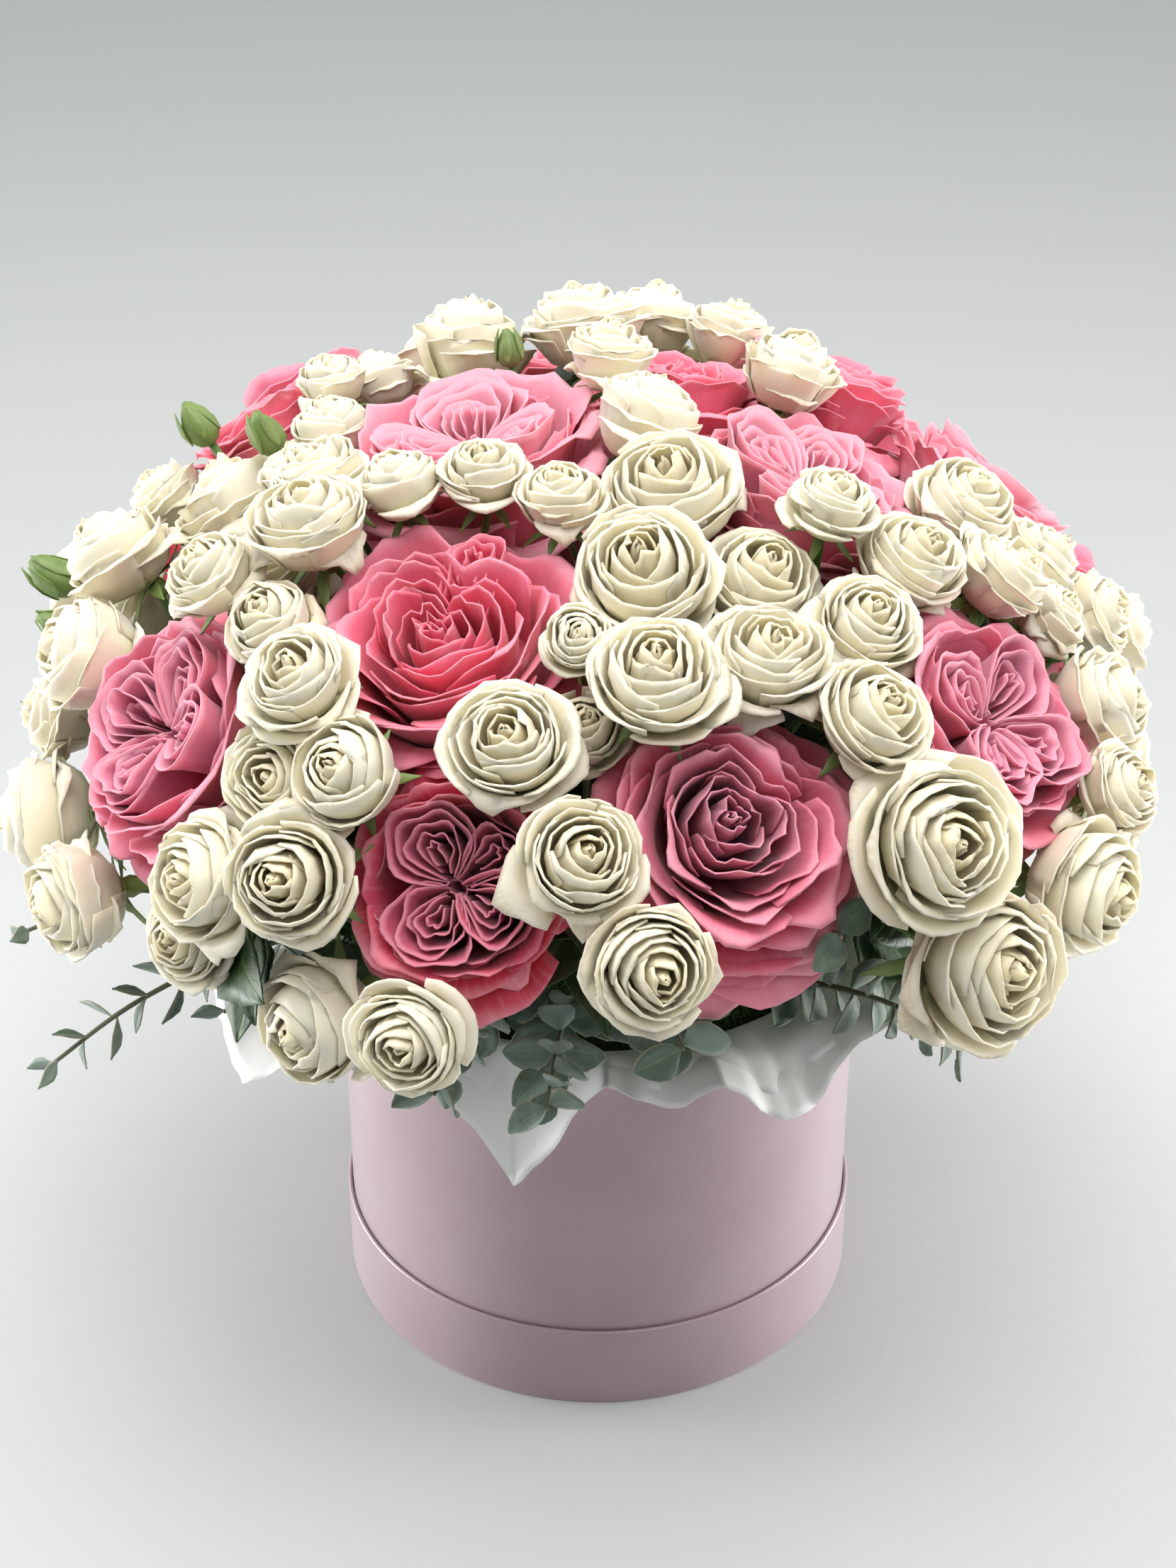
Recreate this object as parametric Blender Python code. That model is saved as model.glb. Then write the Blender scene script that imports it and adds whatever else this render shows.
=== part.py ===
"""Round hat box of pale pink card, filled with pink garden roses, white spray roses and eucalyptus.

Metres, +Z up, the front of the box faces -Y, and the origin is the middle of the lid's underside.
"""

import math

import bpy
import numpy as np

# box, lid and what is inside it
LID_OUTER_RADIUS = 0.125
LID_HEIGHT = 0.044
BOX_OUTER_RADIUS = 0.1225
BOX_RIM_Z = 0.200
CARD = 0.002
FIT = 0.0003
ROUND_SIDES = 40
FILM_OUTER_RADIUS = 0.1066
FILM = 0.0010
FILM_TOP_Z = 0.185
FOAM_RADIUS = 0.1050
FOAM_SIDE_TOP_Z = 0.2120
FOAM_TOP_RADIUS = 0.0800
FOAM_TOP_Z = 0.2450
FOAM_SIDES = 24

# the flowers lie on a flattened dome, and their stems run out from one point low in the foam
DOME_RADIUS = 0.270
DOME_HEIGHT = 0.196
DOME_Z = 0.270
STEM_HUB = np.array([0.0, 0.0, 0.160])
LOWEST_STEM_ANGLE = 29.0
STEM_DEPTH = 0.026
SPRAY_STEM = 0.0025
BRANCH_STEM = 0.0017
ROSE_STEM = 0.0031
SPRIG_STEM = 0.0019
HOLE_PLAY = 0.0006
HOLE_OUTSIDE = 0.020
STEM_STRAIGHT = 0.004
SPRIG_STRAIGHT = 0.010
SPRIG_DROOP = 0.55
FIRST_BRANCH = 0.36
BRANCH_STEP = 0.09
BRANCH_LEAN = 0.6

# heads: room between them, how far their middles lie inside the dome, how full they are for their width,
# and the share of the radius from the middle of a head down to its stem
FLOWER_GAP = 0.0012
STEM_ROOM = 0.0036
ROSE_INSET = 0.035
BLOOM_INSET = 0.022
BUD_INSET = 0.012
HEAD_FULLNESS = 1.08
BUD_REACH = 1.45
FOOT = 0.86
SMALL_BLOOM_RADIUS = 0.0172

# pushing the flowers apart: steps, those at the end that don't pull home, the first that minds stems,
# how often the stems are drawn anew, their sample spacing, and the shares of each push and pull
SPREAD_TURNS = 500
LAST_TURNS = 60
FIRST_STEM_TURN = 100
STEMS_EVERY = 25
STEM_SAMPLE = 0.006
PUSH = 0.5
PULL = 0.02

# where each flower faces: bearing in degrees from the front toward the right, height angle on the
# dome in degrees, width in millimetres
PINK_ROSES = {
    "pink_rose_front_middle": (-23, 58, 98),
    "pink_rose_front_low_left": (-16, 30, 76),
    "pink_rose_front_low_right": (16, 35, 86),
    "pink_rose_left": (-58, 33, 94),
    "pink_rose_right": (54, 35, 90),
    "pink_rose_top_left": (-94, 76, 100),
    "pink_rose_top_right": (76, 69, 90),
    "pink_rose_back_left_high": (-139, 54, 76),
    "pink_rose_back_middle_high": (155, 66, 72),
    "pink_rose_back_right_high": (134, 51, 74),
    "pink_rose_back_right": (115, 40, 86),
    "pink_rose_left_shoulder": (-122, 40, 68),
    "pink_rose_left_far": (-113, 29, 66),
    "pink_rose_rear_a": (117, 12, 82),
    "pink_rose_rear_b": (155, 12, 80),
    "pink_rose_rear_c": (-167, 12, 84),
    "pink_rose_rear_d": (-129, 12, 80),
    "pink_rose_rear_e": (140, 33, 82),
    "pink_rose_rear_f": (-176, 35, 86),
    "pink_rose_rear_g": (-138, 33, 80),
}

# white spray roses: one branching stem each, its open blooms by width, and its green buds; a fourth
# number moves a low flower in toward the box, in millimetres
SPRAYS = {
    "white_spray_top_back": ((-160, 58, 50), (-179, 60, 50), (168, 56, 42), (-141, 75, 14)),
    "white_spray_top_back_right": ((150, 56, 38), (122, 67, 40)),
    "white_spray_top": ((-150, 88, 36), (88, 83, 44), (-6, 72, 32)),
    "white_spray_crown": ((20, 73, 52), (10, 61, 52), (7, 49, 46), (0, 55, 24)),
    "white_spray_right_crown": ((28, 60, 48), (24, 50, 44), (39, 51, 38), (31, 40, 42)),
    "white_spray_right_top": ((58, 53, 44), (58, 61, 32), (84, 54, 42), (68, 45, 40)),
    "white_spray_right": ((88, 40, 40), (75, 38, 32), (91, 27, 38), (71, 27, 46), (61, 22, 34)),
    "white_spray_right_low": ((36, 29, 58), (54, 15, 50), (38, 12, 59), (70, 6, 42, 20)),
    "white_spray_front": ((-4, 29, 42), (6, 25, 43), (-10, 41, 43), (-3, 46, 29)),
    "white_spray_front_low": ((-17, 15, 40, 14), (-30, 2, 48, 24), (-28, 25, 44)),
    "white_spray_left_low": ((-41, 20, 48), (-46, 8, 36, 16), (-64, 2, 48)),
    "white_spray_left_edge": ((-88, 13, 42), (-81, 3, 50), (-83, 26, 50)),
    "white_spray_left_far": ((-99, 27, 42), (-95, 34, 44), (-98, 24, 20), (-93, 20, 18)),
    "white_spray_left_shoulder": ((-111, 42, 36), (-103, 43, 54), (-113, 46, 18)),
    "white_spray_left_top": ((-132, 55, 34), (-109, 62, 34), (-88, 60, 36), (-122, 52, 28), (-102, 57, 17)),
    "white_spray_left_crown": ((-71, 64, 38), (-66, 54, 40), (-54, 57, 44), (-43, 63, 30), (-36, 71, 32)),
    "white_spray_left_middle": ((-39, 35, 38), (-28, 37, 39), (-34, 45, 40), (-42, 51, 35), (-59, 47, 36)),
    "white_spray_rear_a": ((92, 6, 46, 14), (104, 3, 44, 22), (98, 19, 48)),
    "white_spray_rear_b": ((130, 3, 44, 20), (142, 4, 46, 20), (136, 20, 48)),
    "white_spray_rear_c": ((168, 3, 46, 20), (180, 2, 44, 22), (174, 20, 48)),
    "white_spray_rear_d": (
        (-154, 3, 44, 20), (-142, 2, 46, 22), (-148, 20, 48), (-157, 31, 44), (-157, 42, 46)),
    "white_spray_rear_e": ((-115, 3, 44, 20), (-103, 3, 46, 20), (-110, 20, 48)),
    "white_spray_rear_f": ((161, 30, 44), (163, 42, 46), (174, 51, 42)),
}
BUD_BELOW = 22

# rose leaves: how many a stem may have, how steep that stem may be, the room each leaf needs, its shape,
# and the places tried in turn, as share of the stem, length and turn about the stem in degrees
LEAVES_EACH = 1
LEAF_STEM_BELOW = 0.80
LEAF_ROOM = 0.0034
LEAF_FOAM_ROOM = 0.006
LEAF_LOWEST_Z = 0.224
LEAF_LEAN = 0.45
LEAF_WIDTH_SHARE = 0.62
ROSE_LEAF = 0.0018
SPRIG_LEAF = 0.0014
LEAF_TRIES = [(share, length, turn) for length in (0.048, 0.040, 0.032)
              for share in (0.52, 0.42, 0.64, 0.34, 0.78) for turn in range(0, 360, 20)]

# eucalyptus: bearing at the foam, bearing, distance from the middle and height of the tip in
# millimetres, pairs of leaves, leaf length and width in millimetres
SPRIGS = {
    "eucalyptus_left_long": (-58, -60, 272, 208, 5, 19, 8),
    "eucalyptus_left": (-72, -70, 268, 246, 4, 15, 10),
    "eucalyptus_left_low": (-51, -49, 210, 238, 4, 15, 9),
    "eucalyptus_front_left": (-19, -20, 198, 232, 4, 20, 18),
    "eucalyptus_front": (-6, -6, 204, 238, 5, 20, 17),
    "eucalyptus_front_right": (8, 9, 208, 270, 4, 23, 21),
    "eucalyptus_right": (34, 43, 222, 238, 6, 18, 14),
    "eucalyptus_right_high": (24, 26, 214, 316, 3, 20, 18),
    "eucalyptus_rear_a": (120, 124, 215, 238, 3, 21, 18),
    "eucalyptus_rear_b": (-176, -172, 212, 234, 3, 21, 18),
    "eucalyptus_rear_c": (-122, -124, 215, 238, 3, 21, 18),
}

# edge of the tissue round the rim: bearing, distance from the middle and height in millimetres
TISSUE_EDGE = [
    (-180, 160, 204), (-165, 172, 198), (-150, 158, 206), (-135, 176, 200), (-120, 162, 206),
    (-105, 178, 202), (-90, 170, 200), (-78, 182, 196), (-66, 186, 188), (-56, 190, 177),
    (-47, 172, 196), (-40, 158, 190), (-33, 160, 196), (-28, 150, 192), (-23, 140, 168),
    (-17, 131, 133), (-11, 136, 152), (-5, 144, 184), (1, 150, 207), (7, 152, 203),
    (14, 151, 196), (20, 152, 200), (26, 157, 186), (32, 160, 182), (38, 158, 192),
    (45, 160, 202), (52, 178, 214), (60, 190, 211), (69, 184, 198), (80, 172, 206),
    (93, 180, 200), (107, 166, 206), (121, 178, 200), (135, 162, 206), (150, 174, 199),
    (165, 160, 206),
]
TISSUE = 0.0008
TISSUE_COLUMNS = 36
TISSUE_TUCK_RADIUS = 0.1152
TISSUE_TUCK_Z = 0.150
TISSUE_WALL_RADIUS = 0.1165
TISSUE_OFF_WALL = 0.0015
TISSUE_OFF_RIM = 0.0032
TONGUE_BEARINGS = [-31.0, -27.0, -23.0, -20.0, -17.0, -14.0, -11.0, -8.0, -5.0, -1.0]

PINK_CARD = (0.74, 0.56, 0.60)
CLEAR_FILM = (0.80, 0.82, 0.80)
WHITE_TISSUE = (0.86, 0.86, 0.84)
GREEN_FOAM = (0.12, 0.26, 0.10)
PINK_PETALS = (0.80, 0.16, 0.26)
WHITE_PETALS = (0.86, 0.84, 0.74)
DUSTY_LEAVES = (0.18, 0.30, 0.20)


# numbers and directions

def unit(vector):
    """Vector scaled to length one."""
    return vector / np.linalg.norm(vector)


def heading(azimuth, elevation):
    """Direction from a bearing measured from the front and an angle above the horizon, in degrees."""
    a = math.radians(azimuth)
    e = math.radians(elevation)
    return np.array([math.sin(a) * math.cos(e), -math.cos(a) * math.cos(e), math.sin(e)])


def dome_point(azimuth, elevation, inset):
    """Point on the dome, moved in by inset."""
    axes = np.array([DOME_RADIUS - inset, DOME_RADIUS - inset, DOME_HEIGHT - 0.8 * inset])
    return np.array([0.0, 0.0, DOME_Z]) + heading(azimuth, elevation) * axes


def dome_normal(point):
    """Outward direction of the dome at a point."""
    rel = point - np.array([0.0, 0.0, DOME_Z])
    return unit(rel / np.array([DOME_RADIUS, DOME_RADIUS, DOME_HEIGHT]) ** 2)


def side_axes(axis):
    """Two directions square to an axis."""
    first = np.cross(axis, np.array([0.0, 0.0, 1.0]))
    if np.linalg.norm(first) < 0.05:
        first = np.cross(axis, np.array([0.0, 1.0, 0.0]))
    first = unit(first)
    return first, np.cross(axis, first)


# layout of the flowers

def flower_list():
    """Every flower as node name, kind, target centre and envelope radius."""
    flowers = []
    for name, (azimuth, elevation, width) in PINK_ROSES.items():
        centre = dome_point(azimuth, elevation, ROSE_INSET)
        flowers.append([name, "rose", centre, HEAD_FULLNESS * width / 2000.0])
    for name, heads in SPRAYS.items():
        for azimuth, elevation, width, *deeper in heads:
            kind = "bud" if width < BUD_BELOW else "bloom"
            inset = (BUD_INSET if kind == "bud" else BLOOM_INSET) + sum(deeper) / 1000.0
            reach = BUD_REACH if kind == "bud" else HEAD_FULLNESS
            flowers.append([name, kind, dome_point(azimuth, elevation, inset), reach * width / 2000.0])
    return flowers


def spread(flowers):
    """Push flowers clear of each other and of each other's stems, holding each near its own place."""
    owner = np.array([flower[0] for flower in flowers])
    target = np.array([flower[2] for flower in flowers])
    radius = np.array([flower[3] for flower in flowers])
    centre = target.copy()
    reach = radius[:, None] + radius[None, :] + FLOWER_GAP
    weight = radius[None, :] / (radius[:, None] + radius[None, :])
    rods, rod_owner = np.zeros((0, 3)), np.zeros(0, dtype=owner.dtype)
    for turn in range(SPREAD_TURNS):
        if turn % STEMS_EVERY == 0 and turn >= FIRST_STEM_TURN:
            rods, rod_owner = stem_samples(flowers, centre, radius)
        apart = centre[:, None, :] - centre[None, :, :]
        distance = np.linalg.norm(apart, axis=2) + np.eye(len(radius))
        overlap = np.clip(reach - distance, 0.0, None) * (1.0 - np.eye(len(radius)))
        push = ((apart / distance[:, :, None]) * (overlap * weight)[:, :, None]).sum(axis=1)
        if len(rods):
            apart = centre[:, None, :] - rods[None, :, :]
            distance = np.linalg.norm(apart, axis=2)
            foreign = owner[:, None] != rod_owner[None, :]
            overlap = np.clip(radius[:, None] + STEM_ROOM - distance, 0.0, None) * foreign
            worst = overlap.argmax(axis=1)
            rows = np.arange(len(radius))
            push += apart[rows, worst] / distance[rows, worst][:, None] * overlap[rows, worst][:, None]
        centre = centre + PUSH * push
        if turn < SPREAD_TURNS - LAST_TURNS:
            centre = centre + PULL * (target - centre)
    apart = centre[:, None, :] - centre[None, :, :]
    distance = np.linalg.norm(apart, axis=2) + 10.0 * np.eye(len(radius))
    share = (distance - FLOWER_GAP) / (radius[:, None] + radius[None, :])
    return centre, radius * np.minimum(1.0, share.min(axis=1))


def stem_samples(flowers, centres, radii):
    """Points along every stem and branch, with the node that each belongs to."""
    points = []
    owners = []
    for route in all_routes(flowers, centres, radii):
        for line in [route["run"]] + [arm for _, arm in route["arms"]]:
            for here, there in zip(line, line[1:]):
                count = int(np.linalg.norm(there - here) / STEM_SAMPLE) + 2
                for share in np.linspace(0.0, 1.0, count):
                    points.append(here + (there - here) * share)
                    owners.append(route["name"])
    return np.array(points), np.array(owners)


def all_routes(flowers, centres, radii):
    """Stem and branches of every rose and spray."""
    heads = {}
    for (name, kind, _, _), centre, r in zip(flowers, centres, radii):
        heads.setdefault(name, []).append((kind, centre, dome_normal(centre), r))
    return [flower_route(name, group) for name, group in heads.items()]


def foam_exit(direction):
    """Distance from the hub at which a stem in this direction leaves the foam."""
    across = math.hypot(direction[0], direction[1])
    up = direction[2]
    slope_run = FOAM_RADIUS - FOAM_TOP_RADIUS
    slope_rise = FOAM_TOP_Z - FOAM_SIDE_TOP_Z
    top = (FOAM_TOP_Z - STEM_HUB[2]) / max(up, 1e-6)
    side = FOAM_RADIUS / max(across, 1e-6)
    level = FOAM_RADIUS * slope_rise + (FOAM_SIDE_TOP_Z - STEM_HUB[2]) * slope_run
    edge = level / (across * slope_rise + up * slope_run)
    return min(top, side, edge)


def stem_direction(point):
    """Direction in which the stem that serves a point leaves the foam."""
    rel = point - STEM_HUB
    azimuth = math.degrees(math.atan2(rel[0], -rel[1]))
    elevation = math.degrees(math.atan2(rel[2], math.hypot(rel[0], rel[1])))
    return heading(azimuth, max(elevation, LOWEST_STEM_ANGLE))


def bend(start, start_way, end, end_way, count):
    """Points along a smooth curve between two points with given directions."""
    third = np.linalg.norm(end - start) / 3.0
    a = start + start_way * third
    b = end - end_way * third
    t = np.linspace(0.0, 1.0, count + 1)[:, None]
    return (1 - t) ** 3 * start + 3 * (1 - t) ** 2 * t * a + 3 * (1 - t) * t ** 2 * b + t ** 3 * end


def place_on(path, share):
    """Point and direction at a share of the way along a bent stem's straight lengths."""
    at = min(share * (len(path) - 1), len(path) - 1.001)
    index = int(at)
    step = path[index + 1] - path[index]
    return path[index] + step * (at - index), unit(step)


# surfaces

class Shell:
    """Closed surface collected from rings of points."""

    def __init__(self):
        self.points = []
        self.faces = []

    def ring(self, points):
        start = len(self.points)
        self.points.extend(np.asarray(points).tolist())
        return list(range(start, len(self.points)))

    def cap(self, ring, outward):
        """Close a ring with one flat face, facing along the run when outward is true."""
        self.faces.append(list(ring) if outward else list(reversed(ring)))

    def peak(self, ring, point):
        """Close a ring onto one point."""
        top = self.ring([point])[0]
        for index, here in enumerate(ring):
            self.faces.append([here, ring[(index + 1) % len(ring)], top])

    def join(self, lower, upper):
        """Band of triangles between two rings that may have different counts."""
        n = len(lower)
        m = len(upper)
        i = 0
        j = 0
        while i < n or j < m:
            if j >= m or (i < n and (i + 1) * m <= (j + 1) * n):
                self.faces.append([lower[i % n], lower[(i + 1) % n], upper[j % m]])
                i += 1
            else:
                self.faces.append([lower[i % n], upper[(j + 1) % m], upper[j % m]])
                j += 1

    def tube(self, path, radii, sides, first_way):
        """Rings of a stem along a path, returning the last ring."""
        last = None
        u, v = side_axes(first_way)
        way = first_way
        for index, point in enumerate(path):
            if 0 < index < len(path) - 1:
                way = unit(path[index + 1] - path[index - 1])
            elif index > 0:
                way = unit(path[index] - path[index - 1])
            u = unit(u - way * np.dot(u, way))
            v = np.cross(way, u)
            turn = np.arange(sides) * (2.0 * math.pi / sides)
            circle = np.cos(turn)[:, None] * u + np.sin(turn)[:, None] * v
            ring = self.ring(point + circle * radii[index])
            if last is None:
                self.cap(ring, False)
            else:
                self.join(last, ring)
            last = ring
        return last, u

    def head(self, last, centre, axis, u, rings, peak):
        """Petal layers above a stem: rings of radius and height that swing between two values."""
        v = np.cross(axis, u)
        for sides, low, high in rings:
            step = np.arange(sides)
            turn = step * (2.0 * math.pi / sides)
            odd = (step % 2).astype(float)[:, None]
            out = low[0] + (high[0] - low[0]) * odd
            up = low[1] + (high[1] - low[1]) * odd
            circle = np.cos(turn)[:, None] * u + np.sin(turn)[:, None] * v
            ring = self.ring(centre + circle * out + axis * up)
            self.join(last, ring)
            last = ring
        self.peak(last, centre + axis * peak)

    def build(self, name):
        """Make the object from the collected surface."""
        mesh = bpy.data.meshes.new(name)
        mesh.from_pydata(self.points, [], self.faces)
        mesh.validate()
        mesh.update()
        piece = bpy.data.objects.new(name, mesh)
        bpy.context.scene.collection.objects.link(piece)
        return piece


# petal layers, each ring as sides, then radius and height at the petal folds and at the petal tips

def rose_layers(r):
    """Open garden rose with a low quartered middle."""
    rings = [
        (12, (0.78 * r, -0.42 * r), (0.88 * r, -0.36 * r)),
        (12, (0.84 * r, -0.04 * r), (0.99 * r, 0.10 * r)),
        (12, (0.72 * r, -0.04 * r), (0.74 * r, 0.00 * r)),
        (12, (0.74 * r, 0.34 * r), (0.60 * r, 0.22 * r)),
        (12, (0.46 * r, 0.12 * r), (0.48 * r, 0.12 * r)),
        (12, (0.30 * r, 0.30 * r), (0.42 * r, 0.42 * r)),
    ]
    return rings, 0.16 * r


def bloom_layers(r):
    """Open spray rose."""
    rings = [
        (8, (0.80 * r, -0.42 * r), (0.88 * r, -0.36 * r)),
        (8, (0.84 * r, 0.06 * r), (0.98 * r, 0.16 * r)),
        (8, (0.64 * r, 0.04 * r), (0.66 * r, 0.08 * r)),
        (8, (0.62 * r, 0.46 * r), (0.50 * r, 0.34 * r)),
    ]
    return rings, 0.20 * r


def small_bloom_layers(r):
    """Half open spray rose."""
    rings = [
        (8, (0.84 * r, -0.26 * r), (0.94 * r, -0.12 * r)),
        (8, (0.60 * r, 0.52 * r), (0.72 * r, 0.66 * r)),
    ]
    return rings, 0.30 * r


def bud_layers(r):
    """Closed green bud."""
    rings = [
        (6, (0.44 * r, -0.62 * r), (0.44 * r, -0.62 * r)),
        (6, (0.62 * r, -0.10 * r), (0.66 * r, -0.10 * r)),
        (6, (0.30 * r, 0.50 * r), (0.34 * r, 0.52 * r)),
    ]
    return rings, 0.96 * r


def add_head(shell, last, kind, centre, axis, u, r):
    """Put the petal layers of one kind on the end of a stem."""
    if kind == "rose":
        rings, peak = rose_layers(r)
    elif kind == "bud":
        rings, peak = bud_layers(r)
    elif r > SMALL_BLOOM_RADIUS:
        rings, peak = bloom_layers(r)
    else:
        rings, peak = small_bloom_layers(r)
    shell.head(last, centre, axis, u, rings, peak)


# objects

def material(name, colour, roughness):
    """Plain material."""
    made = bpy.data.materials.new(name)
    made.use_nodes = True
    shader = made.node_tree.nodes["Principled BSDF"]
    shader.inputs["Base Color"].default_value = (*colour, 1.0)
    shader.inputs["Roughness"].default_value = roughness
    return made


def finish(piece, colour, roughness, smooth):
    """Give a piece its material and shading."""
    piece.data.materials.clear()
    piece.data.materials.append(material(piece.name + "_material", colour, roughness))
    for face in piece.data.polygons:
        face.use_smooth = smooth
    return piece


def combine(body, pieces, operation):
    """Join pieces to a body, or cut them out of it, in one exact step, then remove them."""
    bunch = bpy.data.collections.new(body.name + "_bunch")
    bpy.context.scene.collection.children.link(bunch)
    for piece in pieces:
        bpy.context.scene.collection.objects.unlink(piece)
        bunch.objects.link(piece)
    step = body.modifiers.new("combine", "BOOLEAN")
    step.operation = operation
    step.operand_type = "COLLECTION"
    step.collection = bunch
    step.solver = "EXACT"
    apply_modifiers(body)
    for piece in list(bunch.objects):
        bpy.data.objects.remove(piece)
    bpy.data.collections.remove(bunch)
    return body


def apply_modifiers(body):
    """Replace a piece's mesh by its evaluated mesh."""
    bpy.context.view_layer.update()
    seen = body.evaluated_get(bpy.context.evaluated_depsgraph_get())
    mesh = bpy.data.meshes.new_from_object(seen)
    body.modifiers.clear()
    body.data = mesh


def turned(name, profile, sides):
    """Solid of revolution about the middle from radius and height pairs, closed at both ends."""
    shell = Shell()
    last = None
    for radius, height in profile:
        if radius <= 0.0:
            shell.peak(last, (0.0, 0.0, height))
            last = None
            continue
        turn = np.arange(sides) * (2.0 * math.pi / sides)
        points = np.stack([np.cos(turn) * radius, np.sin(turn) * radius, np.full(sides, height)], axis=1)
        ring = shell.ring(points)
        if last is None:
            shell.cap(ring, False)
        else:
            shell.join(last, ring)
        last = ring
    if last is not None:
        shell.cap(last, True)
    return shell.build(name)


def cup(name, radius, wall, floor_z, rim_z, sides):
    """Open round tub."""
    profile = [(radius, floor_z), (radius, rim_z), (radius - wall, rim_z), (radius - wall, floor_z + wall)]
    return turned(name, profile, sides)


def tissue_edge(azimuth):
    """Distance and height of the tissue's edge at a bearing, smooth between the chosen points."""
    points = TISSUE_EDGE + [(TISSUE_EDGE[0][0] + 360, TISSUE_EDGE[0][1], TISSUE_EDGE[0][2])]
    for here, there in zip(points, points[1:]):
        if here[0] <= azimuth <= there[0]:
            t = (azimuth - here[0]) / (there[0] - here[0])
            t = t * t * (3.0 - 2.0 * t)
            reach = here[1] + (there[1] - here[1]) * t
            height = here[2] + (there[2] - here[2]) * t
            return reach / 1000.0, height / 1000.0
    return TISSUE_EDGE[0][1] / 1000.0, TISSUE_EDGE[0][2] / 1000.0


def tissue_section(azimuth, wave):
    """Middle line of the tissue at a bearing, from inside the box over the rim to the edge."""
    reach, height = tissue_edge(azimuth)
    over_r = BOX_OUTER_RADIUS + TISSUE_OFF_WALL
    over_z = BOX_RIM_Z + TISSUE_OFF_RIM
    hang = max(0.0, over_z - height) / 0.07
    mid_r = over_r + (reach - over_r) * (0.55 + 0.2 * hang)
    mid_z = over_z + (height - over_z) * 0.45 + 0.006 * (1.0 - hang) + 0.003 * wave * (1.0 - hang)
    return np.array([
        (TISSUE_TUCK_RADIUS, TISSUE_TUCK_Z),
        (TISSUE_WALL_RADIUS, BOX_RIM_Z - TISSUE),
        (over_r, over_z),
        (mid_r, mid_z),
        (reach, height),
    ])


def tissue_paper():
    """Collar of tissue: tucked inside the wall, over the rim, and out to an uneven edge."""
    bearings = [-180.0 + 360.0 * index / TISSUE_COLUMNS for index in range(TISSUE_COLUMNS)]
    bearings = [b for b in bearings if not TONGUE_BEARINGS[0] - 2.0 < b < TONGUE_BEARINGS[-1] + 4.0]
    bearings += TONGUE_BEARINGS
    bearings.sort()
    upper = []
    lower = []
    for index, azimuth in enumerate(bearings):
        section = tissue_section(azimuth, 1.0 if index % 2 else -1.0)
        run = np.gradient(section, axis=0)
        across = np.stack([-run[:, 1], run[:, 0]], axis=1)
        across /= np.linalg.norm(across, axis=1)[:, None]
        out = heading(azimuth, 0.0)
        for side, rows in ((0.5, upper), (-0.5, lower)):
            line = section + across * TISSUE * side
            rows.append(line[:, 0:1] * out + line[:, 1:2] * np.array([0.0, 0.0, 1.0]))
    columns = len(bearings)
    rows = len(upper[0])
    points = [point for line in lower for point in line] + [point for line in upper for point in line]
    faces = []
    half = columns * rows
    for i in range(columns):
        k = (i + 1) % columns
        for j in range(rows - 1):
            a, b, c, d = i * rows + j, k * rows + j, k * rows + j + 1, i * rows + j + 1
            faces += [[a, b, c], [a, c, d]]
            faces += [[half + c, half + b, half + a], [half + d, half + c, half + a]]
        a, b = i * rows, k * rows
        faces += [[half + a, half + b, b], [half + a, b, a]]
        a, b = i * rows + rows - 1, k * rows + rows - 1
        faces += [[a, b, half + b], [a, half + b, half + a]]
    mesh = bpy.data.meshes.new("tissue_paper")
    mesh.from_pydata([tuple(point) for point in points], [], faces)
    mesh.update()
    piece = bpy.data.objects.new("tissue_paper", mesh)
    bpy.context.scene.collection.objects.link(piece)
    return piece


def leaf(name, root, way, flat, length, width, thick):
    """One leaf: a low pyramid on each side of a six cornered outline."""
    side = np.cross(flat, way)
    outline = [(0.0, 0.0), (0.30, -0.46), (0.72, -0.42), (1.0, 0.0), (0.72, 0.42), (0.30, 0.46)]
    shell = Shell()
    points = []
    for along, across in outline:
        sag = -0.10 * length * along * along
        points.append(root + way * along * length + side * across * width + flat * sag)
    ring = shell.ring(points)
    middle = root + way * 0.48 * length - flat * 0.02 * length
    top = shell.ring([middle + flat * thick * 0.5])[0]
    below = shell.ring([middle - flat * thick * 0.5])[0]
    for index in range(len(ring)):
        here = ring[index]
        there = ring[(index + 1) % len(ring)]
        shell.faces.append([here, there, top])
        shell.faces.append([there, here, below])
    return shell.build(name)


def sprig_route(start_azimuth, tip_azimuth, reach, height):
    """Course of a eucalyptus stem: straight out of the foam, then bent over to its tip."""
    tip = heading(tip_azimuth, 0.0) * reach / 1000.0 + np.array([0.0, 0.0, height / 1000.0])
    way = heading(start_azimuth, LOWEST_STEM_ANGLE + 1.0)
    leave = foam_exit(way)
    inner = STEM_HUB + way * (leave - STEM_DEPTH)
    outer = STEM_HUB + way * (leave + SPRIG_STRAIGHT)
    droop = unit(unit(tip - outer) + np.array([0.0, 0.0, -SPRIG_DROOP]))
    return way, inner, bend(outer, way, tip, droop, 4)


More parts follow.
